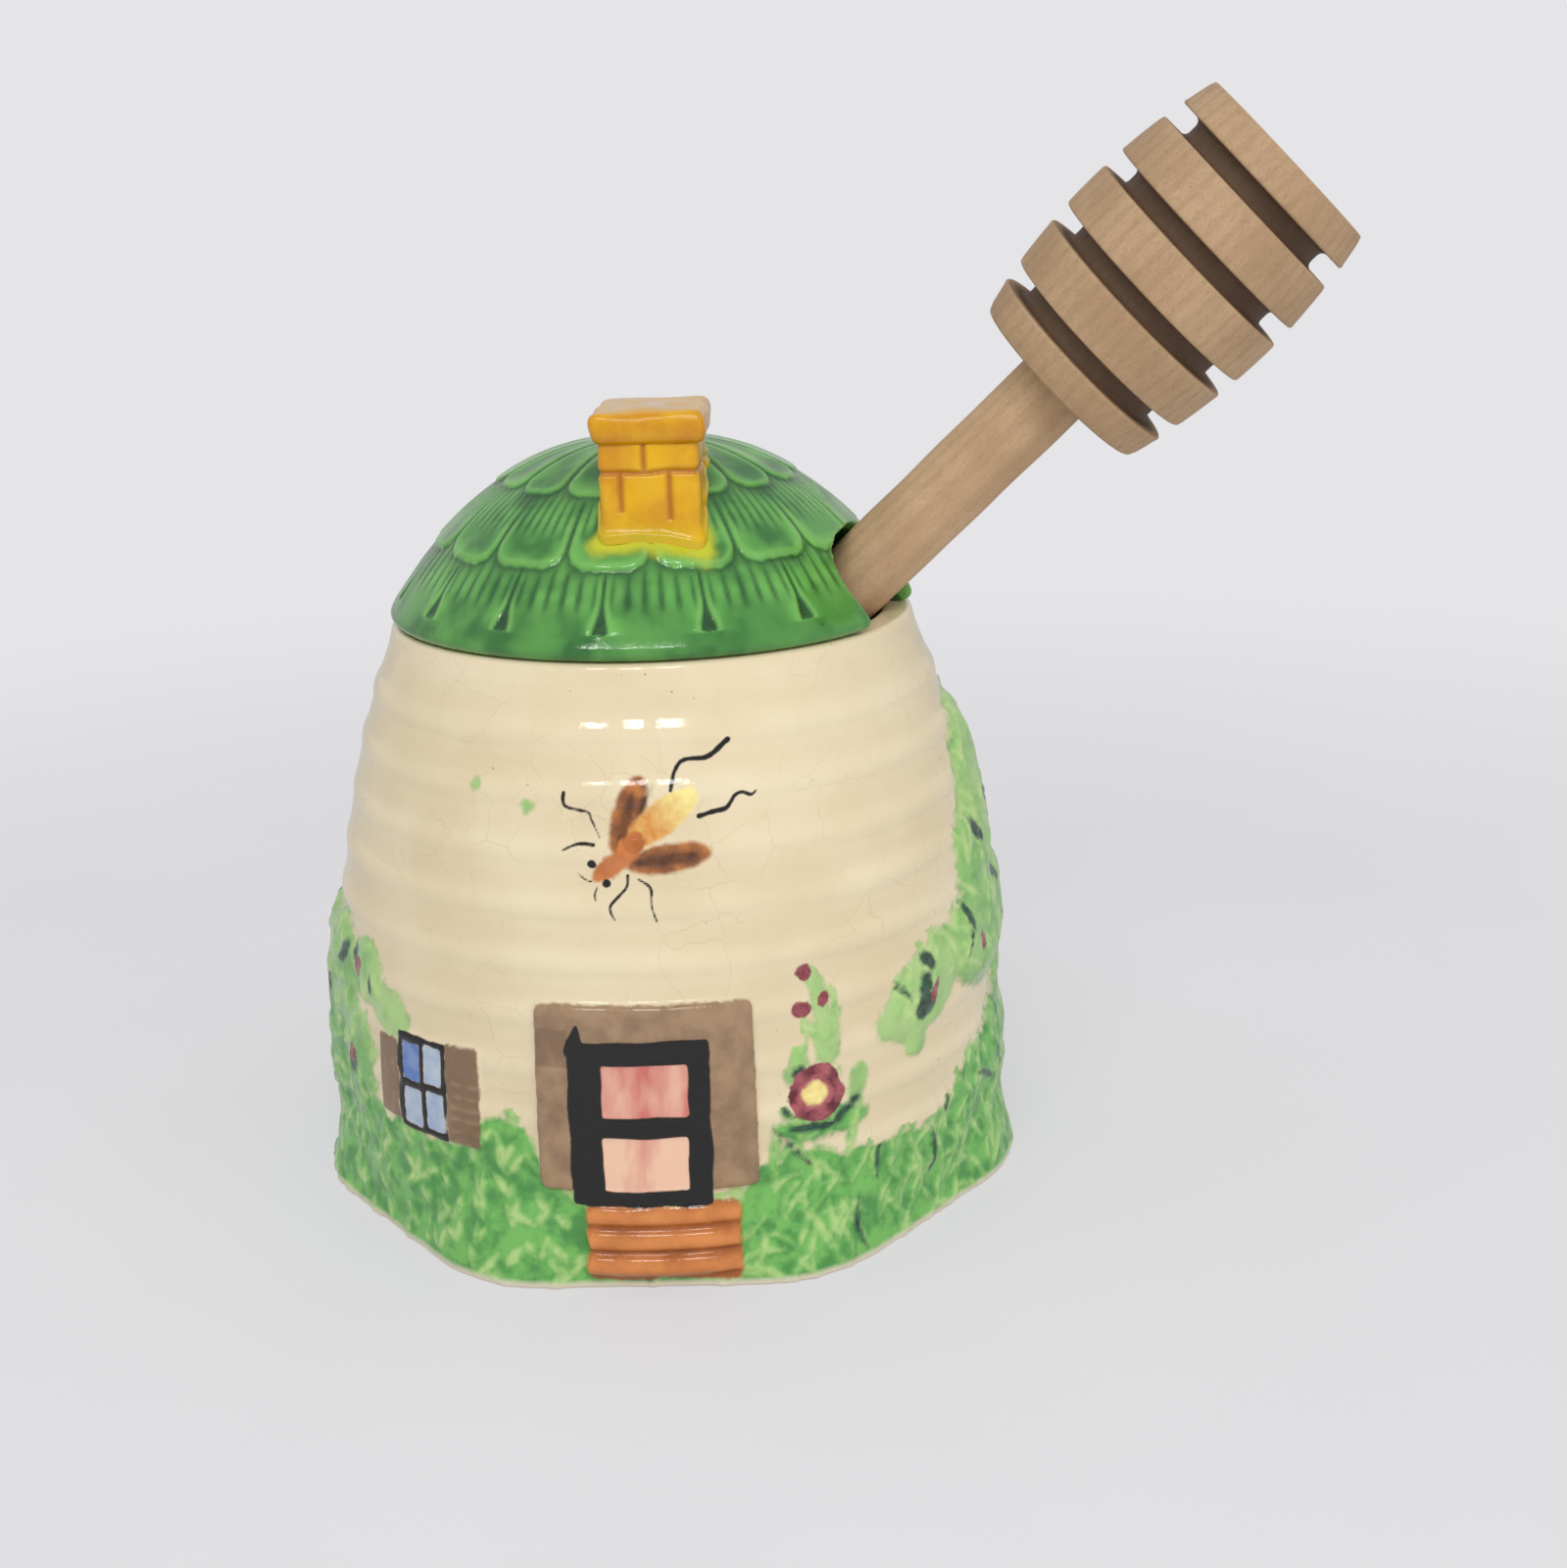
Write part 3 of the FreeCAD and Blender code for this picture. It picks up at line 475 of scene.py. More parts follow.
def flower_fields(az, z):
    """The fields of the flower beside the door."""
    x, y = across(az, z, FLOWER_AZ), z - FLOWER_Z
    petals = np.cos(5 * np.arctan2(y, x) + 0.6)
    whole = np.hypot(x, y) - FLOWER_R * (0.96 + 0.04 * petals) + 0.2 * uneven(az, z, 4, 31)
    heart = oval(az, z, (FLOWER_AZ - 0.4, FLOWER_Z + 0.1, FLOWER_HEART, FLOWER_HEART * 1.2, 80))
    return SimpleNamespace(petals=petals, whole=whole, heart=heart + 0.15 * uneven(az, z, 3, 32))


def bee_fields(az, z):
    """The fields of the insect over the door."""
    lean = np.radians(BEE_TAIL[4])
    return SimpleNamespace(
        tail=oval(az, z, BEE_TAIL),
        tail_end=across(az, z, BEE_TAIL[0]) * np.cos(lean) + (z - BEE_TAIL[1]) * np.sin(lean),
        body=ovals(az, z, BEE_BODY),
        wings=ovals(az, z, BEE_WINGS),
        streaks=ovals(az, z, BEE_STREAKS),
        legs=nearest(stroke(az, z, path, start, end) for path, start, end in BEE_LEGS),
        eyes=ovals(az, z, BEE_EYES),
    )


def built_front(r, az, z, front):
    """The radius with the door, the window and the steps raised on it."""
    flat = wall_r(z) + CREST
    slab = flat + 0.6 - 0.3 * smooth(-front.frame, -0.3, 0.3) - 0.22 * smooth(-front.panes, -0.3, 0.2)
    on_door = smooth(-np.minimum(front.door, front.frame), -0.35, 0.45)
    r = r + (slab + 0.06 * uneven(az, z, 9, 6) - r) * on_door
    window = flat + 0.4 + 0.08 * front.slats - 0.22 * smooth(-front.lights, -0.25, 0.15)
    r = r + (window - r) * smooth(-np.minimum(front.shutters, front.sash), -0.3, 0.35)
    stair = BELLY_R + STEP_OUT - STEP_BACK * front.tread - 1.1 * front.tread_edge**3.2
    stair = stair + 0.07 * uneven(az, z, 7, 8)
    return r + (np.maximum(stair, r - 0.2) - r) * smooth(-front.steps, -0.5, 0.5)


def tone_and_step_shade(az, z, front, flower, bee):
    """How light (0) or deep (1) each painted thing is, with painted shade in the steps' valleys."""
    streaks = 0.25 * np.cos(across(az, z, -1.0) * 0.9)
    tones = [
        (front.door, 0.45 + 0.45 * smooth(-front.overlap, -0.1, 0.1)),
        (front.shutters, 1.0 - 0.35 * front.slats),
    ]
    tones += [(pane, tone + streaks) for pane, tone in zip(front.each_pane, PANE_TONES)]
    tones += list(zip(front.each_light, LIGHT_TONES))
    tones += [
        # The steps: lighter on each tread's crest, with painted shade in the valleys between the treads.
        (front.steps, 0.2 + 0.8 * front.tread_edge**2),
        (flower.whole, 0.55 - 0.4 * flower.petals),
        (flower.heart, 0.1),
        (bee.tail, np.clip(0.6 - 0.16 * bee.tail_end, 0, 0.75)),
    ]
    tone = np.full(az.shape, 0.5)
    for field, value in tones:
        tone = np.where(field < 0.6, value, tone)
    return tone


def pot_skin(az, z):
    """(radius, paint) of the pot's outside on a grid of azimuths and heights."""
    r, plants = planted_wall(az, z)
    front, flower, bee = front_fields(az, z), flower_fields(az, z), bee_fields(az, z)
    r = built_front(r, az, z, front)
    r = r + 0.3 * smooth(-flower.whole, -0.3, 1.2) + 0.1 * flower.petals * smooth(-flower.whole, 0, 1)
    r = r + 0.12 * smooth(-flower.heart, -0.2, 0.6)

    door_frame = np.maximum(np.minimum(front.frame, front.finial), -front.panes)
    sash = np.maximum(front.sash, -front.lights)
    paint = {
        "foliage": np.minimum(plants.foliage, ovals(az, z, GREEN_DOTS)),
        "blade": np.maximum(plants.blade, plants.foliage),
        "dark": np.maximum(np.minimum(plants.dark, ovals(az, z, DARK_MARKS)), plants.foliage + 0.1),
        "brown": np.minimum(front.door, np.maximum(front.shutters, -front.sash)),
        "umber": bee.streaks,
        "pink": front.panes,
        "blue": front.lights,
        "black": nearest([door_frame, sash, bee.legs, bee.eyes]),
        "maroon": np.minimum(flower.whole, ovals(az, z, BUDS)),
        "straw": np.minimum(flower.heart, bee.tail),
        "amber": bee.wings,
        "orange": np.minimum(front.steps, bee.body),
        "valley": 1 - np.clip(coil_out(az, z) / CREST, 0, 1),
        "airy": smooth(z - plants.grass, 1, 9) * smooth(z, 14, 26),
        "tone": tone_and_step_shade(az, z, front, flower, bee),
    }
    return r, paint


def graded(*spans):
    """Places along a line, at the step given for each span of it."""
    return np.concatenate([np.arange(start, end - step * 0.5, step) for start, end, step in spans])


def bend(centre, radius, start, end, count):
    """Points of an arc in a plane, from one angle to another."""
    a = np.radians(np.linspace(start, end, count))
    return [(centre[0] + radius * np.cos(t), centre[1] + radius * np.sin(t)) for t in a]


def line(a, b, step):
    """Points from a to b in the (radius, height) plane, without b."""
    count = max(2, int(np.hypot(b[0] - a[0], b[1] - a[1]) / step))
    return [(a[0] + (b[0] - a[0]) * k / count, a[1] + (b[1] - a[1]) * k / count) for k in range(count)]


def hoops(columns, outline):
    """Level rings round the axis, one for each (radius, height) point."""
    return [polar(columns, radius + 0 * columns, height) for radius, height in outline]


def pot_under(columns, lowest):
    """The hollow foot and the standing edge as rings, up to the outside's lowest radii."""
    foot = [(2 + 4 * k, FOOT_DEEP) for k in range(8)] + [(FOOT_R - 0.6, FOOT_DEEP), (FOOT_R, 0.4)]
    rings = hoops(columns, foot)
    edge = FOOT_R + 0.4
    rings += [polar(columns, edge + part * (lowest - 0.6 - edge), 0.0) for part in (0, 0.35, 0.7, 1)]
    rings.append(polar(columns, lowest - 0.18, 0.14))
    return np.stack(rings)


def pot_inside(columns):
    """The rim, the mouth and the inside as rings, down to the floor's middle."""
    outline = bend((RIM_R - 0.7, POT_TOP - 0.8), 0.8, 30, 90, 5)
    outline += line((RIM_R - 1.6, POT_TOP), (MOUTH_R + 1, POT_TOP), 0.6)
    outline += bend((MOUTH_R + 1, POT_TOP - 1), 1, 90, 180, 5) + [(MOUTH_R, POT_TOP - 2.5)]
    cone = [(MOUTH_R, POT_TOP - 5)]
    cone += [(float(wall_r(h)) - WALL_THICK, h) for h in (COIL_LOW + COIL_PITCH * k for k in (8, 6, 4))]
    cone += [(BELLY_R - WALL_THICK, FLOOR_THICK + FLOOR_ROUND)]
    for a, b in zip(cone, cone[1:]):
        outline += line(a, b, 2.2)
    floor_r = BELLY_R - WALL_THICK - FLOOR_ROUND
    outline += bend((floor_r, FLOOR_THICK + FLOOR_ROUND), FLOOR_ROUND, 0, -90, 8)
    outline += line((floor_r - 3, FLOOR_THICK), (2, FLOOR_THICK), 4)
    return np.stack(hoops(columns, outline))


def make_pot():
    columns = graded((-180, -100, 1.0), (-100, -14, 0.5), (-14, 22, 0.3), (22, 100, 0.5), (100, 180, 1.0))
    rim = POT_TOP - 0.9
    heights = np.append(graded((0.5, 45.5, 0.38), (45.5, 66.5, 0.24), (66.5, rim, 0.4)), rim)
    az, z = np.meshgrid(columns, heights)
    r, paint = pot_skin(az, z)
    r = r + (RIM_R + 0.2 - r) * smooth(z, COIL_HIGH + 1.5, rim + 1.5)
    under = pot_under(columns, r[0])
    rings = np.concatenate([under, polar(az, r, z), pot_inside(columns)])
    pot = ring_mesh("pot_body_glazed", rings, (0, 0, FOOT_DEEP), (0, 0, FLOOR_THICK), (columns + 180) / 360)

    outside = slice(len(under), len(under) + len(heights))
    for name, field in paint.items():
        away = 0.0 if name in ("valley", "airy", "tone") else FAR_OUT
        whole = np.full(rings.shape[:2], away)
        whole[outside] = field
        mark_rings(pot, name, whole, away, away)
    bare = np.zeros(rings.shape[:2])
    bare[:len(under)] = 1
    bare[outside] = smooth(-z, -1.15, -0.6)
    mark_rings(pot, "bare", bare, 1, 0)
    return pot


# The lid's form

def roof_h(r):
    """The roof's height above the lid's lower face, over its tiles' ends."""
    return LID_RISE - LID_FALL * (r / LID_R) ** ROOF_POWER


def roof_slope(r):
    """The roof's rise for each step outwards, which is negative."""
    return -ROOF_POWER * LID_FALL / LID_R * (r / LID_R) ** (ROOF_POWER - 1)


def tile_place(az, phase):
    """The place across a tile: 0 in its middle, 1 at the joint with the next one."""
    pitch = 360 / TILES
    return np.abs(2 * np.mod(az / pitch - phase, 1.0) - 1)


# Each course of tiles, from the eaves up: its radii, its phase, its tiles' corner radius and their reeds
COURSES = (
    (MIDDLE_R, EAVE_R + 3.0, 0.5, 1.6, 6),
    (TOP_R, MIDDLE_R, 0.0, 3.0, 7),
    (0.0, TOP_R, 0.5, 2.6, 0),
)


def tiles(az, r):
    """(relief, pool_and_shade, thin) of the roof in its own turned frame: its rise, its thick glaze with
    painted shade, and its thin glaze.
    """
    shape = np.broadcast(az, r).shape
    band = smooth(r, EAVE_R - 0.7, EAVE_R - 0.2) * np.ones(shape)
    # Where no tile lies, as in the joints between tiles, pool_and_shade starts fully dark: painted shade.
    relief, pool_and_shade, thin = -TILE_STEP * (1 - band), 1 - band, 0.35 * band
    for inner, outer, phase, corner, reeds in COURSES:
        t = tile_place(az, phase)
        wide = np.pi / TILES * np.maximum(r, 3.0)
        down = np.clip((r - inner) / (min(outer, EAVE_R) - inner), 0, 1)
        gap = 0.2 - 6 * (1 - smooth(r, 2.0, 8.0))
        if outer > EAVE_R:
            gap = gap + 0.65 * smooth(down, 0.5, 0.9) - 4 * smooth(r, EAVE_R - 0.55, EAVE_R - 0.2)
        edge = outer + 0.18 * wobble(az * 0.4, r * 0, 9, 41)
        past_end = (r - edge) * np.hypot(1, roof_slope(outer))
        deep = -round_corner(t * wide - (wide - gap), past_end, corner)
        inside = smooth(deep, -0.14, 0.2)
        bead = np.exp(-(((deep - 0.45) / 0.38) ** 2)) * smooth(down, 0.2, 0.6)
        dish = smooth(deep, 0.8, 2.4) * smooth(down, 0.3, 0.7)
        strip = np.cos(reeds * np.pi * t)
        fade = smooth(deep, 0.3, 0.9) * (1 - smooth(down, 0.4, 0.72)) * (reeds > 0)
        reed = smooth(-strip, 0.0, 0.95) * fade
        body = -TILE_STEP * (1 - down) + 0.05 * bead - 0.1 * dish - 0.12 * reed
        # Painted shade: a dark band just outside each tile's outline, on the course below its lip and in the
        # joints beside it.
        shade = np.exp(-np.maximum(-deep, 0) / 1.1) * (1 - inside)
        thick = 0.32 * dish + 0.7 * reed
        pale = 0.85 * bead + 0.35 * smooth(strip, 0.0, 0.9) * fade
        relief = relief + (body - relief) * inside
        pool_and_shade = np.maximum(pool_and_shade * (1 - inside), shade) + thick * inside
        thin = thin * (1 - inside) * (1 - shade) + pale * inside
    return relief, np.clip(pool_and_shade, 0, 1), np.clip(thin, 0, 1)


def stick_frame():
    """(seat point, direction, sideways, upward) of the dipper's stick in the row frame."""
    h = np.radians(HEADING)
    ahead = np.array([np.cos(h), np.sin(h), 0.0])
    side = np.array([-np.sin(h), np.cos(h), 0.0])
    along = np.cos(LEAN) * ahead + np.sin(LEAN) * np.array([0, 0, 1.0])
    seat = SEAT_U * ahead + np.array([0, 0, SEAT_Z])
    return seat, along, side, np.cross(along, side)


def notch_cutter():
    """A long arch-topped bar on the stick's line, wider than the stick, that opens the roof for it."""
    seat, along, side, up = stick_frame()
    low, crown = -30.0, NOTCH_ABOVE - NOTCH_CORNER
    near, far = -26.0, 40.0
    outline = [(NOTCH_BACK, low)] + bend((NOTCH_BACK - NOTCH_CORNER, crown), NOTCH_CORNER, 0, 90, 12)
    outline += bend((NOTCH_CORNER - NOTCH_FRONT, crown), NOTCH_CORNER, 90, 180, 12) + [(-NOTCH_FRONT, low)]
    rings = np.array([[seat + s * side + n * up + t * along for s, n in outline] for t in (near, far)])
    around = np.linspace(0, 1, len(outline), endpoint=False)
    return ring_mesh("notch_cutter", rings, rings[0].mean(0), rings[1].mean(0), around)


def apply_modifier(piece, kind, **settings):
    """Runs a modifier on the piece and keeps its result as the piece's mesh."""
    modifier = piece.modifiers.new(kind, kind)
    for name, value in settings.items():
        setattr(modifier, name, value)
    graph = bpy.context.evaluated_depsgraph_get()
    mesh = bpy.data.meshes.new_from_object(piece.evaluated_get(graph), depsgraph=graph)
    piece.modifiers.clear()
    piece.data = mesh
    mesh.shade_smooth()


# The lip's outline: how far it stands out of the eaves, and its height
LIP_LINE = ((-0.5, 0.15), (0.05, 0.42), (0.42, 0.8), (0.55, 1.25), (0.42, 1.8))


def lid_rings(columns):
    """The lid's closed skin as rings, from under its dome, round its flange and its lip, to its peak."""
    r = np.append(np.arange(0.4, EAVE_R, 0.3), EAVE_R)[::-1]
    az, reach = np.meshgrid(columns, r)
    relief = tiles(az, reach)[0]
    slope = roof_slope(reach)
    norm = np.hypot(slope, 1)
    roof = polar(az, reach - slope / norm * relief, roof_h(reach) + relief / norm)

    low = -FLANGE_DEEP
    under = bend((0, DOME_Z), DOME_R, 86, 36.5, 30)
    under += line((FLANGE_IN, 5.2), (FLANGE_IN, low + 0.6), 0.8)
    under += bend((FLANGE_IN + 0.6, low + 0.6), 0.6, 180, 270, 4)
    under += line((FLANGE_IN + 1.2, low), (FLANGE_OUT - 1, low), 0.5)
    under += bend((FLANGE_OUT - 0.6, low + 0.6), 0.6, -90, 0, 4)
    under += line((FLANGE_OUT, low + 1.2), (FLANGE_OUT, -0.3), 0.6)
    under += line((FLANGE_OUT + 0.2, 0), (EAVE_R - 1.2, 0), 0.5)
    under += [(EAVE_R + out, height) for out, height in LIP_LINE]
    return np.concatenate([np.stack(hoops(columns, under)), roof])


def from_notch(p):
    """How far points lie outside the notch's arch, negative inside it."""
    seat, _, side, up = stick_frame()
    s, n = (p - seat) @ side, (p - seat) @ up
    return round_corner(np.maximum(s - NOTCH_BACK, -s - NOTCH_FRONT), n - NOTCH_ABOVE, NOTCH_CORNER)


def from_chimney(p):
    """How far points lie from the chimney's foot, counted longer towards its back, most on its left."""
    right = p[:, 0] - CHIMNEY_X
    beside = np.abs(right) - CHIMNEY_WIDE / 2
    behind = np.maximum(p[:, 1] - CHIMNEY_FRONT, 0)
    ahead = np.maximum(CHIMNEY_FRONT - p[:, 1], p[:, 1] - CHIMNEY_BACK)
    foot = np.hypot(np.maximum(beside, 0), np.maximum(ahead, 0))
    return foot + behind * np.where(right > 0, 0.3, 0.9)


def mark_lid(lid):
    """Keeps on the lid where its glaze is thick or thin, where it is painted with shade, how near the chimney
    is, and its underside.
    """
    p = points_of(lid)
    out, z = np.hypot(p[:, 0], p[:, 1]), p[:, 2] - LID_Z
    skin = np.where(out > FLANGE_OUT + 1, 4.0, 2.2)
    outer = smooth(z - (roof_h(np.minimum(out, EAVE_R)) - skin), 0, 0.6) * smooth(z, -0.6, -0.1)
    az = np.degrees(np.arctan2(p[:, 0], -p[:, 1])) - LID_TURN
    _, pool_and_shade, thin = tiles(az, np.minimum(out, LID_R))
    cut = np.exp(-((from_notch(p) / 0.4) ** 2)) * (out > 16)
    # The notch's cut face is painted dark as painted shade; its outer edge is pale as thin glaze.
    mark(lid, "pool_and_shade", np.maximum(pool_and_shade * outer * (1 - cut), 0.8 * cut * (1 - outer)))
    mark(lid, "thin", np.maximum(thin * outer, cut * outer))
    mark(lid, "bleed", np.where(z > 5, from_chimney(p), 30.0))
    mark(lid, "under", 1 - np.maximum(outer, cut))


def make_lid():
    columns = np.linspace(-180, 180, TILES * 40, endpoint=False)
    dome, peak = (0, 0, DOME_Z + DOME_R), (0, 0, LID_RISE - TILE_STEP)
    lid = ring_mesh("lid_roof_tiled", lid_rings(columns), dome, peak, (columns + 180) / 360)
    lid.data.transform(Matrix.Translation((0, 0, LID_Z * MM)) @ Matrix.Rotation(np.radians(LID_TURN), 4, "Z"))
    cutter = notch_cutter()
    apply_modifier(lid, "BOOLEAN", operation="DIFFERENCE", object=cutter, solver="MANIFOLD")
    bpy.data.objects.remove(cutter)
    apply_modifier(lid, "REMESH", mode="VOXEL", voxel_size=LID_VOXEL * MM, use_smooth_shade=True)
    apply_modifier(lid, "SMOOTH", factor=0.5, iterations=2)
    mark_lid(lid)
    return lid


# The chimney's form

def rounded_box(half_x, half_y, radius, step):
    """(points, outward directions) round a rectangle with rounded corners, from its front towards +X."""
    knots = []
    for start, x_side, y_side in ((-90, 1, -1), (0, 1, 1), (90, -1, 1), (180, -1, -1)):
        centre = (x_side * (half_x - radius), y_side * (half_y - radius))
        knots += bend(centre, radius, start, start + 90, 9)
    loop = np.array(knots + knots[:1])
    lengths = np.concatenate([[0], np.cumsum(np.linalg.norm(np.diff(loop, axis=0), axis=1))])
    at = np.linspace(0, lengths[-1], int(lengths[-1] / step), endpoint=False)
    points = np.stack([np.interp(at, lengths, loop[:, k]) for k in (0, 1)], -1)
    ahead = np.roll(points, -1, 0) - np.roll(points, 1, 0)
    ahead /= np.linalg.norm(ahead, axis=1)[:, None]
    return points, np.stack([ahead[:, 1], -ahead[:, 0]], -1)


# The cap's outline: how far it stands out of the shaft, and how high above the shaft's top
CAP_LINE = (
    (0, 0), (0.35, 0.12), (0.62, 0.42), (0.82, 0.9), (0.92, 1.5), (0.95, 2.1), (0.9, 2.65), (0.76, 3.1),
    (0.5, 3.45), (0.15, 3.68), (-0.4, 3.82), (-1.2, 3.88), (-2.6, 3.9), (-4, 3.9), (-5.2, 3.9),
)


def brick_joint(x, y, z, outward):
    """The distance from the nearest joint between the shaft's bricks."""
    bed = SHAFT_TOP - 3.3
    across_front = np.abs(outward[:, 1]) > 0.5
    upper = np.where(across_front, np.abs(x + 0.6), np.abs(y)) + 99 * (z < bed)
    lower_x = np.minimum(np.abs(x + 3.4) + 99 * (z < bed - 4.6), np.abs(x - 2.3) + 99 * (z < bed - 5.6))
    lower_y = np.minimum(np.abs(y + 3.2), np.abs(y - 3.2))
    lower = np.where(across_front, lower_x, lower_y) + 99 * (z > bed)
    sway = 0.12 * wobble(x + y, z, 6, 51)
    return np.minimum.reduce([upper, lower, np.abs(z - bed + sway)])


def make_chimney():
    half_x, half_y = CHIMNEY_WIDE / 2, (CHIMNEY_BACK - CHIMNEY_FRONT) / 2
    mid_y = (CHIMNEY_BACK + CHIMNEY_FRONT) / 2
    plan, outward = rounded_box(half_x, half_y, 0.8, 0.17)
    x, y = plan.T
    base = roof_h(np.hypot(x + CHIMNEY_X, y + mid_y)) - TILE_STEP - 0.5
    z = base + (SHAFT_TOP - base) * np.linspace(0, 1, 76)[:, None]
    above = np.maximum(z - base - 1.1, 0)
    groove = np.exp(-((brick_joint(x, y, z, outward) / 0.36) ** 2))
    out = 0.55 * np.exp(-above / 0.55) - 0.36 * groove + 0.16 * wobble(x * 1.3 + y, z, 7, 52)
    shaft = np.stack([x + outward[:, 0] * out, y + outward[:, 1] * out, z], -1)

    at = np.linspace(0, len(CAP_LINE) - 1, 46)
    over, up = (np.interp(at, np.arange(len(CAP_LINE)), values)[:, None] for values in np.transpose(CAP_LINE))
    cap_x, cap_y = x * (1 + over / half_x), y * (1 + over / half_y)
    rough = wobble(cap_x, cap_y + up, 6, 53)
    push = 0.14 * rough * smooth(over, -0.6, 0.3)
    height = SHAFT_TOP + up + 0.16 * wobble(cap_x, cap_y, 9, 54) * smooth(up, 0.6, 2.5)
    cap = np.stack([cap_x + outward[:, 0] * push, cap_y + outward[:, 1] * push, height], -1)

    bottom = np.stack([x * 0.6, y * 0.6, base + 0.3], -1)[None]
    rings = np.concatenate([bottom, shaft, cap])
    around = np.linspace(0, 1, len(plan), endpoint=False)
    first, last = (0, 0, float(base.mean()) + 0.6), (0, 0, SHAFT_TOP + CAP_TALL + 0.04)
    chimney = ring_mesh("chimney_knob_bricks", rings, first, last, around)
    blank = np.zeros((1, len(plan)))
    # The cap is painted a little deeper all over, and its lower edge darker still as painted shade.
    shade = 0.25 + 0.4 * np.exp(-up / 0.5) + 0 * cap_x
    worn = smooth(up + 0.15 * rough, 3.3, 3.8)
    mark_rings(chimney, "joints_and_shade", np.concatenate([blank, groove, shade]))
    mark_rings(chimney, "worn", np.concatenate([blank, 0 * groove, worn]), 0, 1)
    mark_rings(chimney, "foot", np.concatenate([blank + 1, np.exp(-above), 0 * cap_x]), 1, 0)
    chimney.data.transform(Matrix.Translation((CHIMNEY_X * MM, mid_y * MM, LID_Z * MM)))
    return chimney


# The dipper's form

def turned(name, outline, columns, lump, darkening):
    """A piece turned on the stick's line from (radius, place along) points, with its grain and how much
    darker it is painted.
    """
    seat, along, side, up = stick_frame()
    around = np.linspace(0, 2 * np.pi, columns, endpoint=False)
    radius, place = np.transpose(outline)[..., None]
    lumps = lump * wobble(radius * np.cos(around) + 0 * place, place + radius * np.sin(around), 14, 61)
    radius = radius + lumps * smooth(radius, 1.0, 4.0)
    s, n = radius * np.cos(around), radius * np.sin(around)
    t = place + 0 * s
    rings = seat + s[..., None] * side + n[..., None] * up + t[..., None] * along
    start, end = outline[0][1], outline[-1][1]
    piece = ring_mesh(name, rings, seat + start * along, seat + end * along, around / (2 * np.pi))
    grain = np.stack([s, n, t], -1).reshape(-1, 3)
    mark(piece, "grain", np.concatenate([grain, [(0, 0, start), (0, 0, end)]]))
    mark_rings(piece, "darkening", darkening(radius, place))
    return piece


def head_r(h):
    """The head's outside radius at a height above its lower face."""
    return HEAD_END_R + HEAD_SWELL * (1 - (2 * h / HEAD_LONG - 1) ** 2)


def head_darkening(radius, place):
    """How much darker the head is painted: a little all over, and most in its grooves, as their darker end
    grain and painted shade.
    """
    h = place - HEAD_FROM
    grooved = (h > DISCS[0] - 0.2) & (h < HEAD_LONG - DISCS[-1] + 0.2) & (radius > SOCKET_R + 1)
    return np.maximum(0.2, smooth(head_r(h) - radius, 0.5, 2.2) * grooved)


def no_darkening(radius, place):
    return 0 * radius * place


def make_handle():
    tail, end = STICK_TAIL, STICK_TAIL + STICK_LONG
    outline = [(0.6, tail), (2.0, tail), (STICK_R - 1, tail)] + bend((STICK_R - 1, tail + 1), 1, -90, 0, 6)
    outline += [(STICK_R, t) for t in np.arange(tail + 2, end - 1, 1.1)]
    outline += [(STICK_R, end - 0.3), (STICK_R - 0.3, end), (1.0, end)]
    return turned("dipper_handle_dowel", outline, 72, 0.06, no_darkening)


def make_head():
    low = HEAD_FROM
    outline = [(0.8, low + SOCKET_DEEP), (SOCKET_R - 0.2, low + SOCKET_DEEP)]
    outline += line((SOCKET_R, low + SOCKET_DEEP - 0.2), (SOCKET_R, low + 0.2), 2.5) + [(SOCKET_R + 0.2, low)]
    outline += line((SOCKET_R + 1, low), (head_r(0) - 1.8, low), 1.0)
    start = 0.0
    for number, disc in enumerate(DISCS):
        end = start + disc
        lower, upper = head_r(start), head_r(end)
        soft = 0.5 if number == 0 else 0.3
        outline += bend((lower - soft, low + start + soft), soft, -90, 0, 6)
        outline += [(head_r(h), low + h) for h in np.linspace(start + soft + 0.4, end - 0.7, 6)]
        outline += bend((upper - 0.3, low + end - 0.3), 0.3, 0, 90, 5)
        if number < len(DISCS) - 1:
            core = head_r(end + GROOVE / 2) - GROOVE_DEEP
            far = end + GROOVE
            outline += line((upper - 0.9, low + end), (core + 0.8, low + end), 0.6)
            outline += bend((core + 0.8, low + end + 0.8), 0.8, 270, 180, 5)
            outline += bend((core + 0.8, low + far - 0.8), 0.8, 180, 90, 5)
            outline += line((core + 1.2, low + far), (head_r(far) - 0.9, low + far), 0.6)
        start = end + GROOVE
    outline += line((head_r(HEAD_LONG) - 1, low + HEAD_LONG), (0.8, low + HEAD_LONG), 0.8)
    return turned("dipper_head_turned", outline, 200, 0.05, head_darkening)


# Materials

def linear(rgb):
    """A screen colour, 0 to 255, as a shader colour."""
    c = np.asarray(rgb, float) / 255
    return (*np.where(c <= 0.04045, c / 12.92, ((c + 0.055) / 1.055) ** 2.4).tolist(), 1.0)


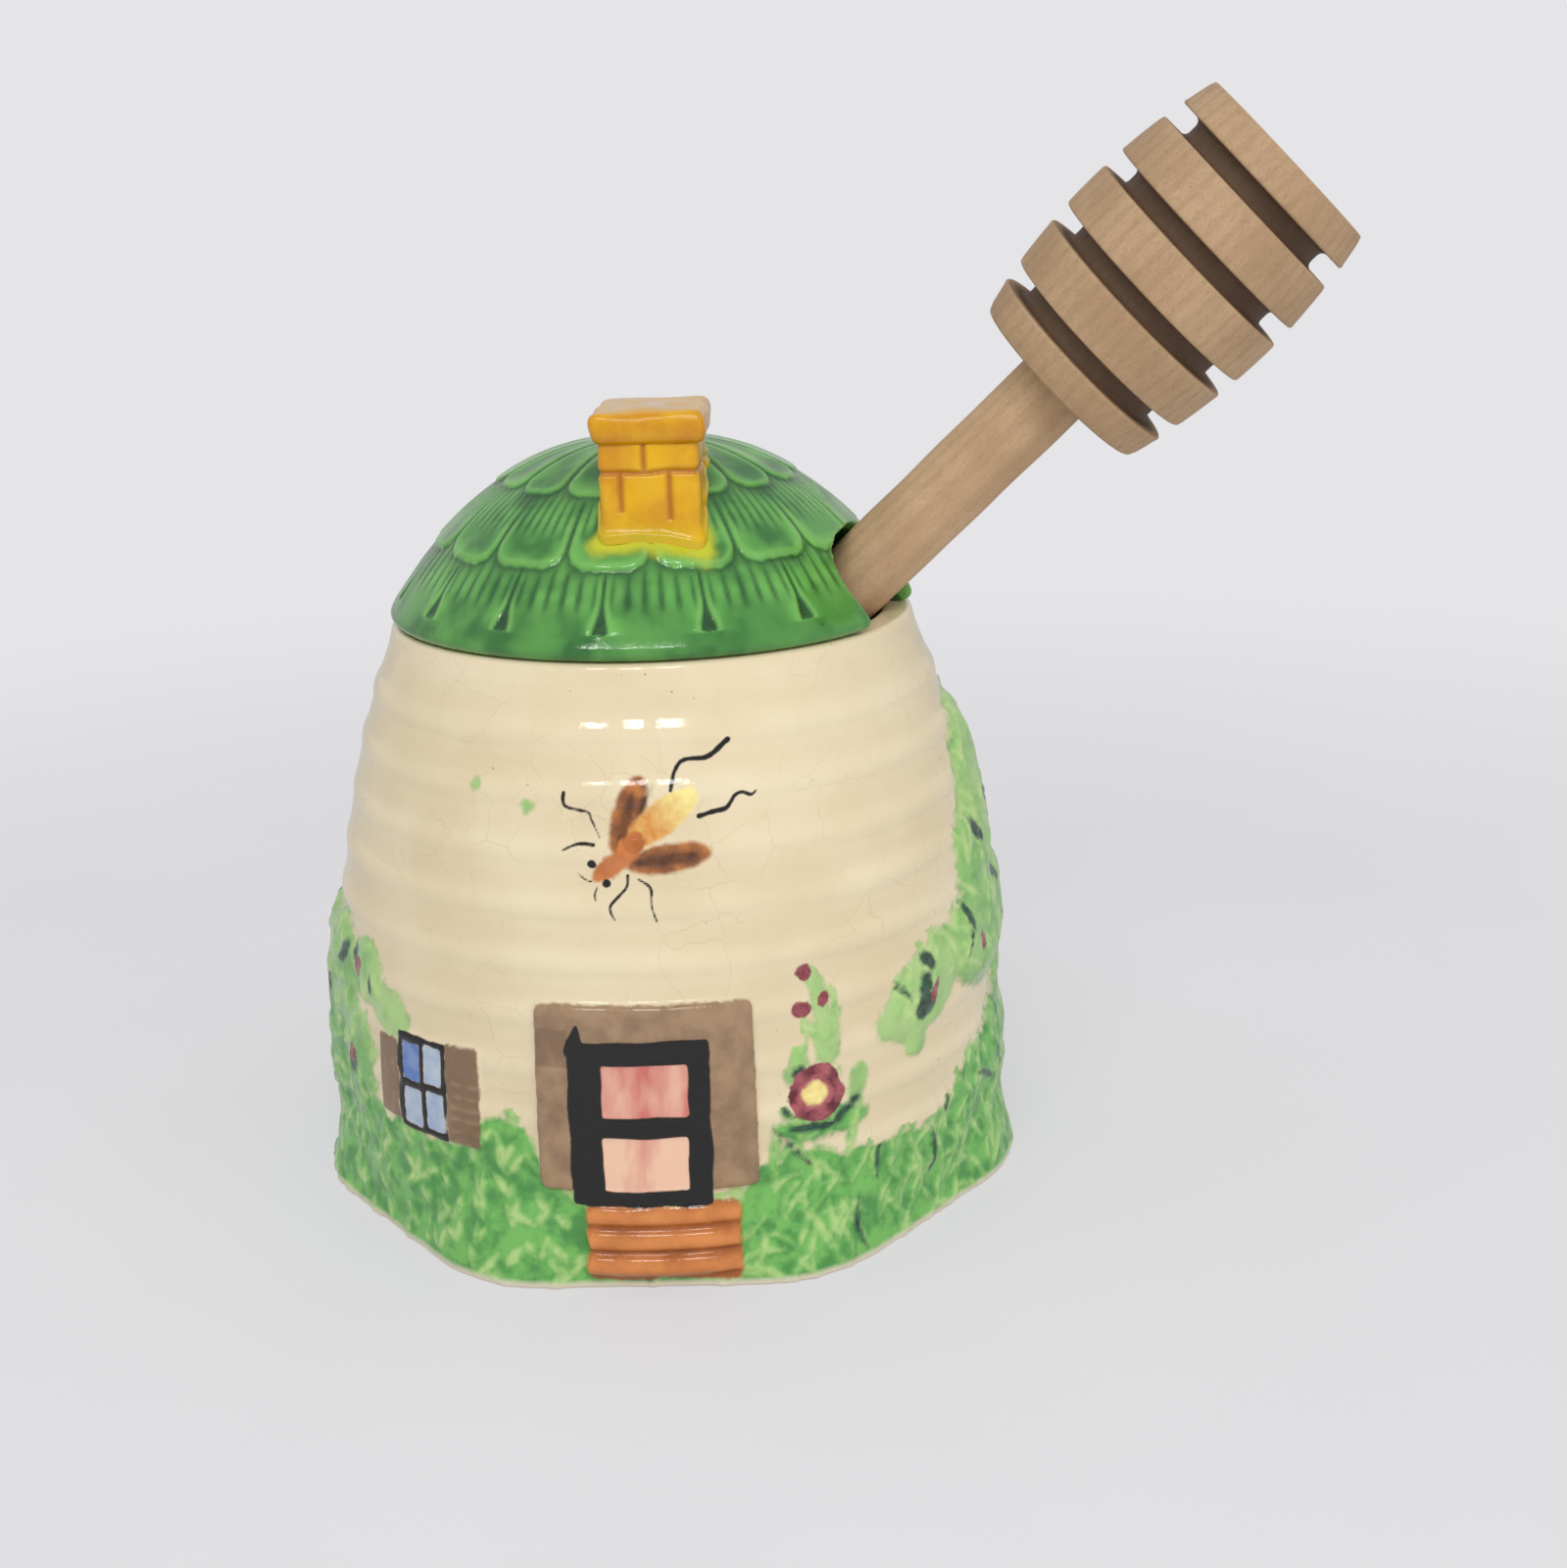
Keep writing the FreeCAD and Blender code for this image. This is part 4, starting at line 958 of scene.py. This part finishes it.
class Nodes:
    """A node tree, built up from small steps."""

    def __init__(self, tree):
        self.tree = tree

    def node(self, kind, settings=None, **inputs):
        node = self.tree.nodes.new(kind)
        for name, value in (settings or {}).items():
            setattr(node, name, value)
        for name, value in inputs.items():
            self.put(node.inputs[name.replace("_", " ")], value)
        return node

    def put(self, socket, value):
        if isinstance(value, bpy.types.NodeSocket):
            self.tree.links.new(value, socket)
        else:
            socket.default_value = value

    def math(self, operation, a, b):
        node = self.node("ShaderNodeMath", {"operation": operation})
        self.put(node.inputs[0], a)
        self.put(node.inputs[1], b)
        return node.outputs[0]

    def mix(self, share, a, b):
        node = self.node("ShaderNodeMix", {"data_type": "RGBA"})
        for socket, value in zip((node.inputs[0], node.inputs[6], node.inputs[7]), (share, a, b)):
            self.put(socket, linear(value) if isinstance(value, tuple) and len(value) == 3 else value)
        return node.outputs[2]


class Finish(Nodes):
    """A material and its nodes."""

    def __init__(self, name):
        self.material = bpy.data.materials.new(name)
        self.material.use_nodes = True
        super().__init__(self.material.node_tree)
        self.shader = self.tree.nodes["Principled BSDF"]
        self.coords = self.node("ShaderNodeTexCoord").outputs["Object"]

    def read(self, name):
        return self.node("ShaderNodeAttribute", {"attribute_name": name})

    def value(self, name):
        return self.read(name).outputs["Fac"]

    def noise(self, size, detail=3.0, rough=0.55, coords=None):
        scale = 1 / (size * MM)
        at = coords or self.coords
        node = self.node("ShaderNodeTexNoise", Vector=at, Scale=scale, Detail=detail, Roughness=rough)
        return node.outputs["Fac"]

    def stretch(self, coords, scale):
        node = self.node("ShaderNodeMapping", Vector=coords, Scale=scale)
        return node.outputs["Vector"]

    def between(self, value, low, high, out_low=0.0, out_high=1.0):
        edges = {"From_Min": low, "From_Max": high, "To_Min": out_low, "To_Max": out_high}
        node = self.node("ShaderNodeMapRange", {"interpolation_type": "SMOOTHSTEP"}, Value=value, **edges)
        return node.outputs["Result"]

    def tint(self, below, colour, share, strength):
        """The colour laid over the one below, by a share times a strength."""
        return self.mix(self.math("MULTIPLY", share, strength), below, colour)

    def layer(self, below, name, light, deep, share, edge, ragged, cover=1.0):
        """A brushed colour where the named distance field is negative, from light to deep by the share."""
        shake = self.between(self.noise(1.1, 4), 0.2, 0.8, -ragged, ragged)
        inside = self.between(self.math("ADD", self.value(name), shake), edge, -edge)
        return self.tint(below, self.mix(share, light, deep), inside, cover)

    def specks(self, scale, low, high, size):
        """Tiny dots in the few cells of a scattered pattern whose random value passes low to high."""
        dots = self.node("ShaderNodeTexVoronoi", Vector=self.coords, Scale=scale)
        pick = self.between(dots.outputs["Color"], low, high)
        return self.math("MULTIPLY", self.between(dots.outputs["Distance"], size, 0.04), pick)

    def bump(self, height, distance):
        node = self.node("ShaderNodeBump", Strength=1.0, Distance=distance * MM, Height=height)
        return node.outputs["Normal"]

    def finish(self, colour, roughness, normal, ior):
        self.put(self.shader.inputs["Base Color"], colour)
        self.put(self.shader.inputs["Roughness"], roughness)
        self.put(self.shader.inputs["Normal"], normal)
        self.shader.inputs["IOR"].default_value = ior
        return self.material


def craze_lines(f):
    """Fine craze lines of an old clear glaze, fainter in places."""
    drift = f.node("ShaderNodeTexNoise", Scale=140.0, Detail=3.0, Vector=f.coords).outputs["Color"]
    bent = f.node("ShaderNodeMix", {"data_type": "VECTOR"})
    f.put(bent.inputs[0], 0.005)
    f.put(bent.inputs[4], f.coords)
    f.put(bent.inputs[5], drift)
    to_edge = {"feature": "DISTANCE_TO_EDGE"}
    cells = f.node("ShaderNodeTexVoronoi", to_edge, Vector=bent.outputs[1], Scale=165.0)
    lines = f.between(cells.outputs["Distance"], 0.012, 0.003)
    return f.math("MULTIPLY", lines, f.between(f.noise(14), 0.42, 0.62, 0.15, 1.0))


def glazed_cream():
    f = Finish("cream_glaze")
    wash, soft, fine = f.noise(17, 4), f.noise(2.6, 3, 0.5), f.noise(1.2, 4, 0.6)
    broad = f.noise(2.4, 3, 0.5, f.stretch(f.coords, (1.0, 1.0, 0.35)))
    soft_patch, fine_patch = f.between(soft, 0.36, 0.66), f.between(fine, 0.36, 0.66)

    def toned(grain, share):
        return f.math("ADD", f.value("tone"), f.between(grain, 0.25, 0.75, -share, share))

    lines = craze_lines(f)
    colour = f.mix(f.between(wash, 0.3, 0.7), (234, 219, 186), (225, 208, 172))
    # The coils' valleys are painted a little darker.
    colour = f.tint(colour, (206, 186, 144), f.value("valley"), 0.2)
    colour = f.tint(colour, (168, 140, 96), lines, 0.18)
    colour = f.tint(colour, (92, 72, 50), f.specks(420.0, 0.63, 0.72, 0.085), 0.5)
    colour = f.layer(colour, "foliage", (106, 184, 84), (50, 140, 58), soft_patch, 0.55, 0.3, 0.95)
    pale = f.math("MULTIPLY", f.value("airy"), f.between(wash, 0.3, 0.65, 0.25, 0.85))
    colour = f.tint(colour, (182, 212, 140), pale, f.between(f.value("foliage"), 0.5, -0.5))
    brushed = (
        ("blade", (206, 224, 152), (128, 196, 98), soft_patch, 0.4, 0.12, 0.62),
        ("dark", (34, 78, 62), (16, 38, 42), fine_patch, 0.4, 0.25, 0.95),
        ("brown", (166, 134, 102), (122, 92, 68), toned(soft, 0.35), 0.16, 0.14, 0.95),
        ("pink", (240, 196, 168), (204, 110, 104), toned(broad, 0.35), 0.12, 0.1),
        ("blue", (196, 208, 216), (88, 122, 190), toned(soft, 0.2), 0.1, 0.08),
        ("maroon", (176, 92, 100), (98, 28, 42), toned(fine, 0.35), 0.16, 0.2),
        ("amber", (188, 112, 46), (128, 68, 26), soft_patch, 0.35, 0.15, 0.95),
        ("umber", (84, 44, 24), (56, 28, 18), soft_patch, 0.6, 0.2, 0.8),
        ("straw", (247, 232, 150), (206, 120, 36), toned(fine, 0.15), 0.35, 0.2),
        # On the steps the tone holds painted shade in the valleys between the treads.
        ("orange", (226, 140, 74), (158, 80, 30), toned(soft, 0.2), 0.3, 0.25, 0.97),
        ("black", (15, 13, 13), (8, 7, 8), fine_patch, 0.1, 0.06),
    )
    for brush in brushed:
        colour = f.layer(colour, *brush)
    colour = f.mix(f.value("bare"), colour, (226, 214, 192))
    rough = f.between(f.noise(9, 4), 0.3, 0.7, 0.05, 0.12)
    rough = f.math("ADD", rough, f.math("MULTIPLY", f.value("bare"), 0.5))
    skin = f.math("ADD", f.noise(2.6, 3), f.math("MULTIPLY", lines, -0.25))
    return f.finish(colour, rough, f.bump(skin, 0.05), ior=1.52)


def glazed_green():
    f = Finish("green_glaze")
    wash, pools, fine = f.noise(12, 4), f.noise(6, 2), f.noise(1.3, 5, 0.6)
    colour = f.mix(f.between(wash, 0.3, 0.7), (106, 178, 82), (70, 144, 60))
    colour = f.mix(f.between(pools, 0.42, 0.7, 0, 0.65), colour, (28, 96, 40))
    colour = f.tint(colour, (122, 184, 92), f.value("thin"), f.between(fine, 0.2, 0.8, 0.6, 0.95))
    # Thick glaze in the hollows, and painted shade under the tiles' lips, in their joints and on the notch's
    # cut face.
    colour = f.tint(colour, (18, 64, 32), f.value("pool_and_shade"), f.between(fine, 0.2, 0.8, 0.8, 1.0))
    creep = f.math("ADD", f.value("bleed"), f.between(f.noise(2.4, 3), 0.2, 0.8, -0.3, 0.3))
    colour = f.mix(f.between(creep, 2.4, 0.6, 0, 0.92), colour, (200, 200, 30))
    colour = f.tint(colour, (196, 206, 160), f.value("under"), 0.8)
    colour = f.tint(colour, (20, 46, 28), f.specks(320.0, 0.6, 0.7, 0.09), 0.5)
    rough = f.between(f.noise(7, 4), 0.3, 0.7, 0.07, 0.15)
    return f.finish(colour, rough, f.bump(f.noise(1.9, 4), 0.06), ior=1.54)


def glazed_yellow():
    f = Finish("yellow_glaze")
    wash, fine = f.noise(6, 4), f.noise(1.0, 5, 0.6)
    colour = f.mix(f.between(wash, 0.35, 0.65), (228, 174, 0), (208, 142, 0))
    # Dark brick joints on the shaft; on the cap, a deeper tone and painted shade at its lower edge.
    colour = f.tint(colour, (172, 96, 12), f.value("joints_and_shade"), f.between(fine, 0.2, 0.8, 0.7, 0.95))
    worn = f.math("ADD", f.value("worn"), f.between(fine, 0.2, 0.8, -0.3, 0.3))
    colour = f.mix(f.between(worn, 0.3, 0.9, 0, 0.75), colour, (218, 170, 84))
    colour = f.tint(colour, (196, 180, 20), f.value("foot"), f.between(wash, 0.3, 0.7, 0.35, 0.85))
    rough = f.between(f.noise(5, 4), 0.3, 0.7, 0.1, 0.22)
    return f.finish(colour, rough, f.bump(fine, 0.07), ior=1.52)


def plain_wood():
    f = Finish("dipper_wood")
    grain = f.read("grain").outputs["Vector"]

    def streaks(scale, detail, rough, squeeze):
        place = f.stretch(grain, (1.0, 1.0, squeeze))
        noise = f.node("ShaderNodeTexNoise", Vector=place, Scale=scale, Detail=detail, Roughness=rough)
        return noise.outputs["Fac"]

    heart = f.node("ShaderNodeMapping", Vector=grain, Location=(14.0, 6.0, 0.0), Scale=(1.0, 1.0, 0.05))
    rings = f.node(
        "ShaderNodeTexWave", {"wave_type": "RINGS", "rings_direction": "Z"},
        Vector=heart.outputs["Vector"], Scale=0.16, Distortion=2.2, Detail=2.0,
    ).outputs["Fac"]
    fibre, pores = streaks(2.2, 5.0, 0.65, 0.4), streaks(5.5, 3.0, 0.6, 0.5)
    blotch = streaks(0.09, 3.0, 0.5, 1.0)
    colour = f.mix(f.between(blotch, 0.3, 0.7), (203, 170, 133), (184, 151, 115))
    colour = f.mix(f.between(rings, 0.45, 0.95, 0, 0.25), colour, (164, 132, 100))
    colour = f.mix(f.between(fibre, 0.45, 0.72, 0, 0.4), colour, (166, 132, 98))
    colour = f.mix(f.between(pores, 0.58, 0.7, 0, 0.5), colour, (132, 102, 76))
    # The head is painted darker: a little all over, and most in its grooves as darker end grain and painted
    # shade.
    colour = f.tint(colour, (84, 62, 47), f.value("darkening"), 0.85)
    rough = f.between(fibre, 0.3, 0.7, 0.55, 0.75)
    return f.finish(colour, rough, f.bump(pores, 0.06), ior=1.45)


# The studio, with lengths in metres

PAPER = (229, 228, 231)
WORLD_LIGHT = 0.64
FLOOR_R, FLOOR_SIDES = 2.5, 64
FADE_FROM, FADE_TO, FLOOR_GLOW = 0.12, 0.42, 0.55
LAMP_AIM = (0, 0, 0.05)
KEY_PLACE, KEY_SIZE, KEY_POWER = (-0.04, -0.5, 0.52), 0.34, 0.6
SIDE_PLACE, SIDE_SIZE, SIDE_POWER = (0.55, -0.55, 0.32), 0.5, 1.1
SPARK_PLACES = ((-0.21, -0.475, 0.5), (-0.063, -0.516, 0.5), (0.09, -0.512, 0.5))
SPARK_SIZE, SPARK_POWER = 0.09, 0.32


def make_world():
    """Plain light, and the paper's pale colour for what the camera sees directly or through glass."""
    world = bpy.data.worlds.new("studio")
    bpy.context.scene.world = world
    world.use_nodes = True
    nodes = Nodes(world.node_tree)
    path = nodes.node("ShaderNodeLightPath").outputs
    seen = nodes.math("MAXIMUM", path["Is Camera Ray"], path["Is Transmission Ray"])
    colour = nodes.mix(seen, (WORLD_LIGHT, WORLD_LIGHT, WORLD_LIGHT, 1), PAPER)
    nodes.put(world.node_tree.nodes["Background"].inputs["Color"], colour)


def make_floor():
    """A wide pale floor that keeps the shadow near the pot and fades into the background."""
    turns = np.linspace(0, 2 * np.pi, FLOOR_SIDES, endpoint=False)
    edge = [(FLOOR_R / MM * np.cos(t), FLOOR_R / MM * np.sin(t), 0) for t in turns]
    floor = mesh_object("floor", edge, [tuple(range(FLOOR_SIDES))])
    f = Finish("paper_floor")
    f.shader.inputs["Roughness"].default_value = 0.9
    paper = f.mix(f.between(f.noise(60, 3), 0.3, 0.7), (226, 225, 228), (222, 221, 224))
    f.put(f.shader.inputs["Base Color"], paper)
    away = f.node("ShaderNodeVectorMath", {"operation": "LENGTH"}, Vector=f.coords).outputs["Value"]
    fade = f.between(away, FADE_FROM, FADE_TO, FLOOR_GLOW, 1.0)
    share = f.math("MULTIPLY", fade, f.node("ShaderNodeLightPath").outputs["Is Camera Ray"])
    glow = f.node("ShaderNodeEmission", Color=linear(PAPER))
    both = f.node("ShaderNodeMixShader")
    f.put(both.inputs[0], share)
    f.put(both.inputs[1], f.shader.outputs[0])
    f.put(both.inputs[2], glow.outputs[0])
    f.put(f.tree.nodes["Material Output"].inputs["Surface"], both.outputs[0])
    floor.data.materials.append(f.material)


def lamp(name, place, size, power, mirrored=False):
    """A square soft lamp that faces the pot's middle, and may be mirrored in gloss."""
    data = bpy.data.lights.new(name, "AREA")
    data.size = size
    data.energy = power
    soft = add_object(name, data)
    toward = np.array(LAMP_AIM) - np.array(place)
    soft.location = place
    soft.visible_glossy = mirrored
    soft.rotation_euler = Vector(toward).to_track_quat("-Z", "Y").to_euler()


# The camera, in millimetres and degrees as the pot is
CAMERA_AZ, CAMERA_RANGE, CAMERA_HEIGHT = 4.5, 265.2, 127.2
CAMERA_YAW, CAMERA_PITCH, CAMERA_ROLL = -0.964, 16.34, -1.53
CAMERA_LENS = 47.28


def make_camera():
    data = bpy.data.cameras.new("camera")
    data.sensor_fit = "HORIZONTAL"
    data.sensor_width = 36.0
    data.lens = CAMERA_LENS
    data.clip_start = 0.01
    camera = add_object("camera", data)
    place = polar(CAMERA_AZ, CAMERA_RANGE, CAMERA_HEIGHT) * MM
    yaw, pitch, roll = np.radians([-CAMERA_YAW, 90 - CAMERA_PITCH, CAMERA_ROLL])
    turn = Matrix.Rotation(yaw, 4, "Z") @ Matrix.Rotation(pitch, 4, "X") @ Matrix.Rotation(roll, 4, "Z")
    camera.matrix_world = Matrix.Translation(place.tolist()) @ turn
    bpy.context.scene.camera = camera


def dress(piece, material, body, node):
    """Gives a finished piece its material and puts it in its node's place."""
    piece.data.materials.clear()
    piece.data.materials.append(material)
    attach(piece, body)
    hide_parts(node)


wood = plain_wood()
dress(make_pot(), glazed_cream(), "pot", "pot_body")
dress(make_lid(), glazed_green(), "lid", "lid_roof")
dress(make_chimney(), glazed_yellow(), "lid", "chimney_knob")
dress(make_handle(), wood, "dipper", "dipper_handle")
dress(make_head(), wood, "dipper", "dipper_head")

make_floor()
make_world()
lamp("key", KEY_PLACE, KEY_SIZE, KEY_POWER)
for number, spark_place in enumerate(SPARK_PLACES):
    lamp(f"spark_{number}", spark_place, SPARK_SIZE, SPARK_POWER, True)
lamp("side", SIDE_PLACE, SIDE_SIZE, SIDE_POWER)
make_camera()
bpy.context.scene.view_settings.view_transform = "Standard"
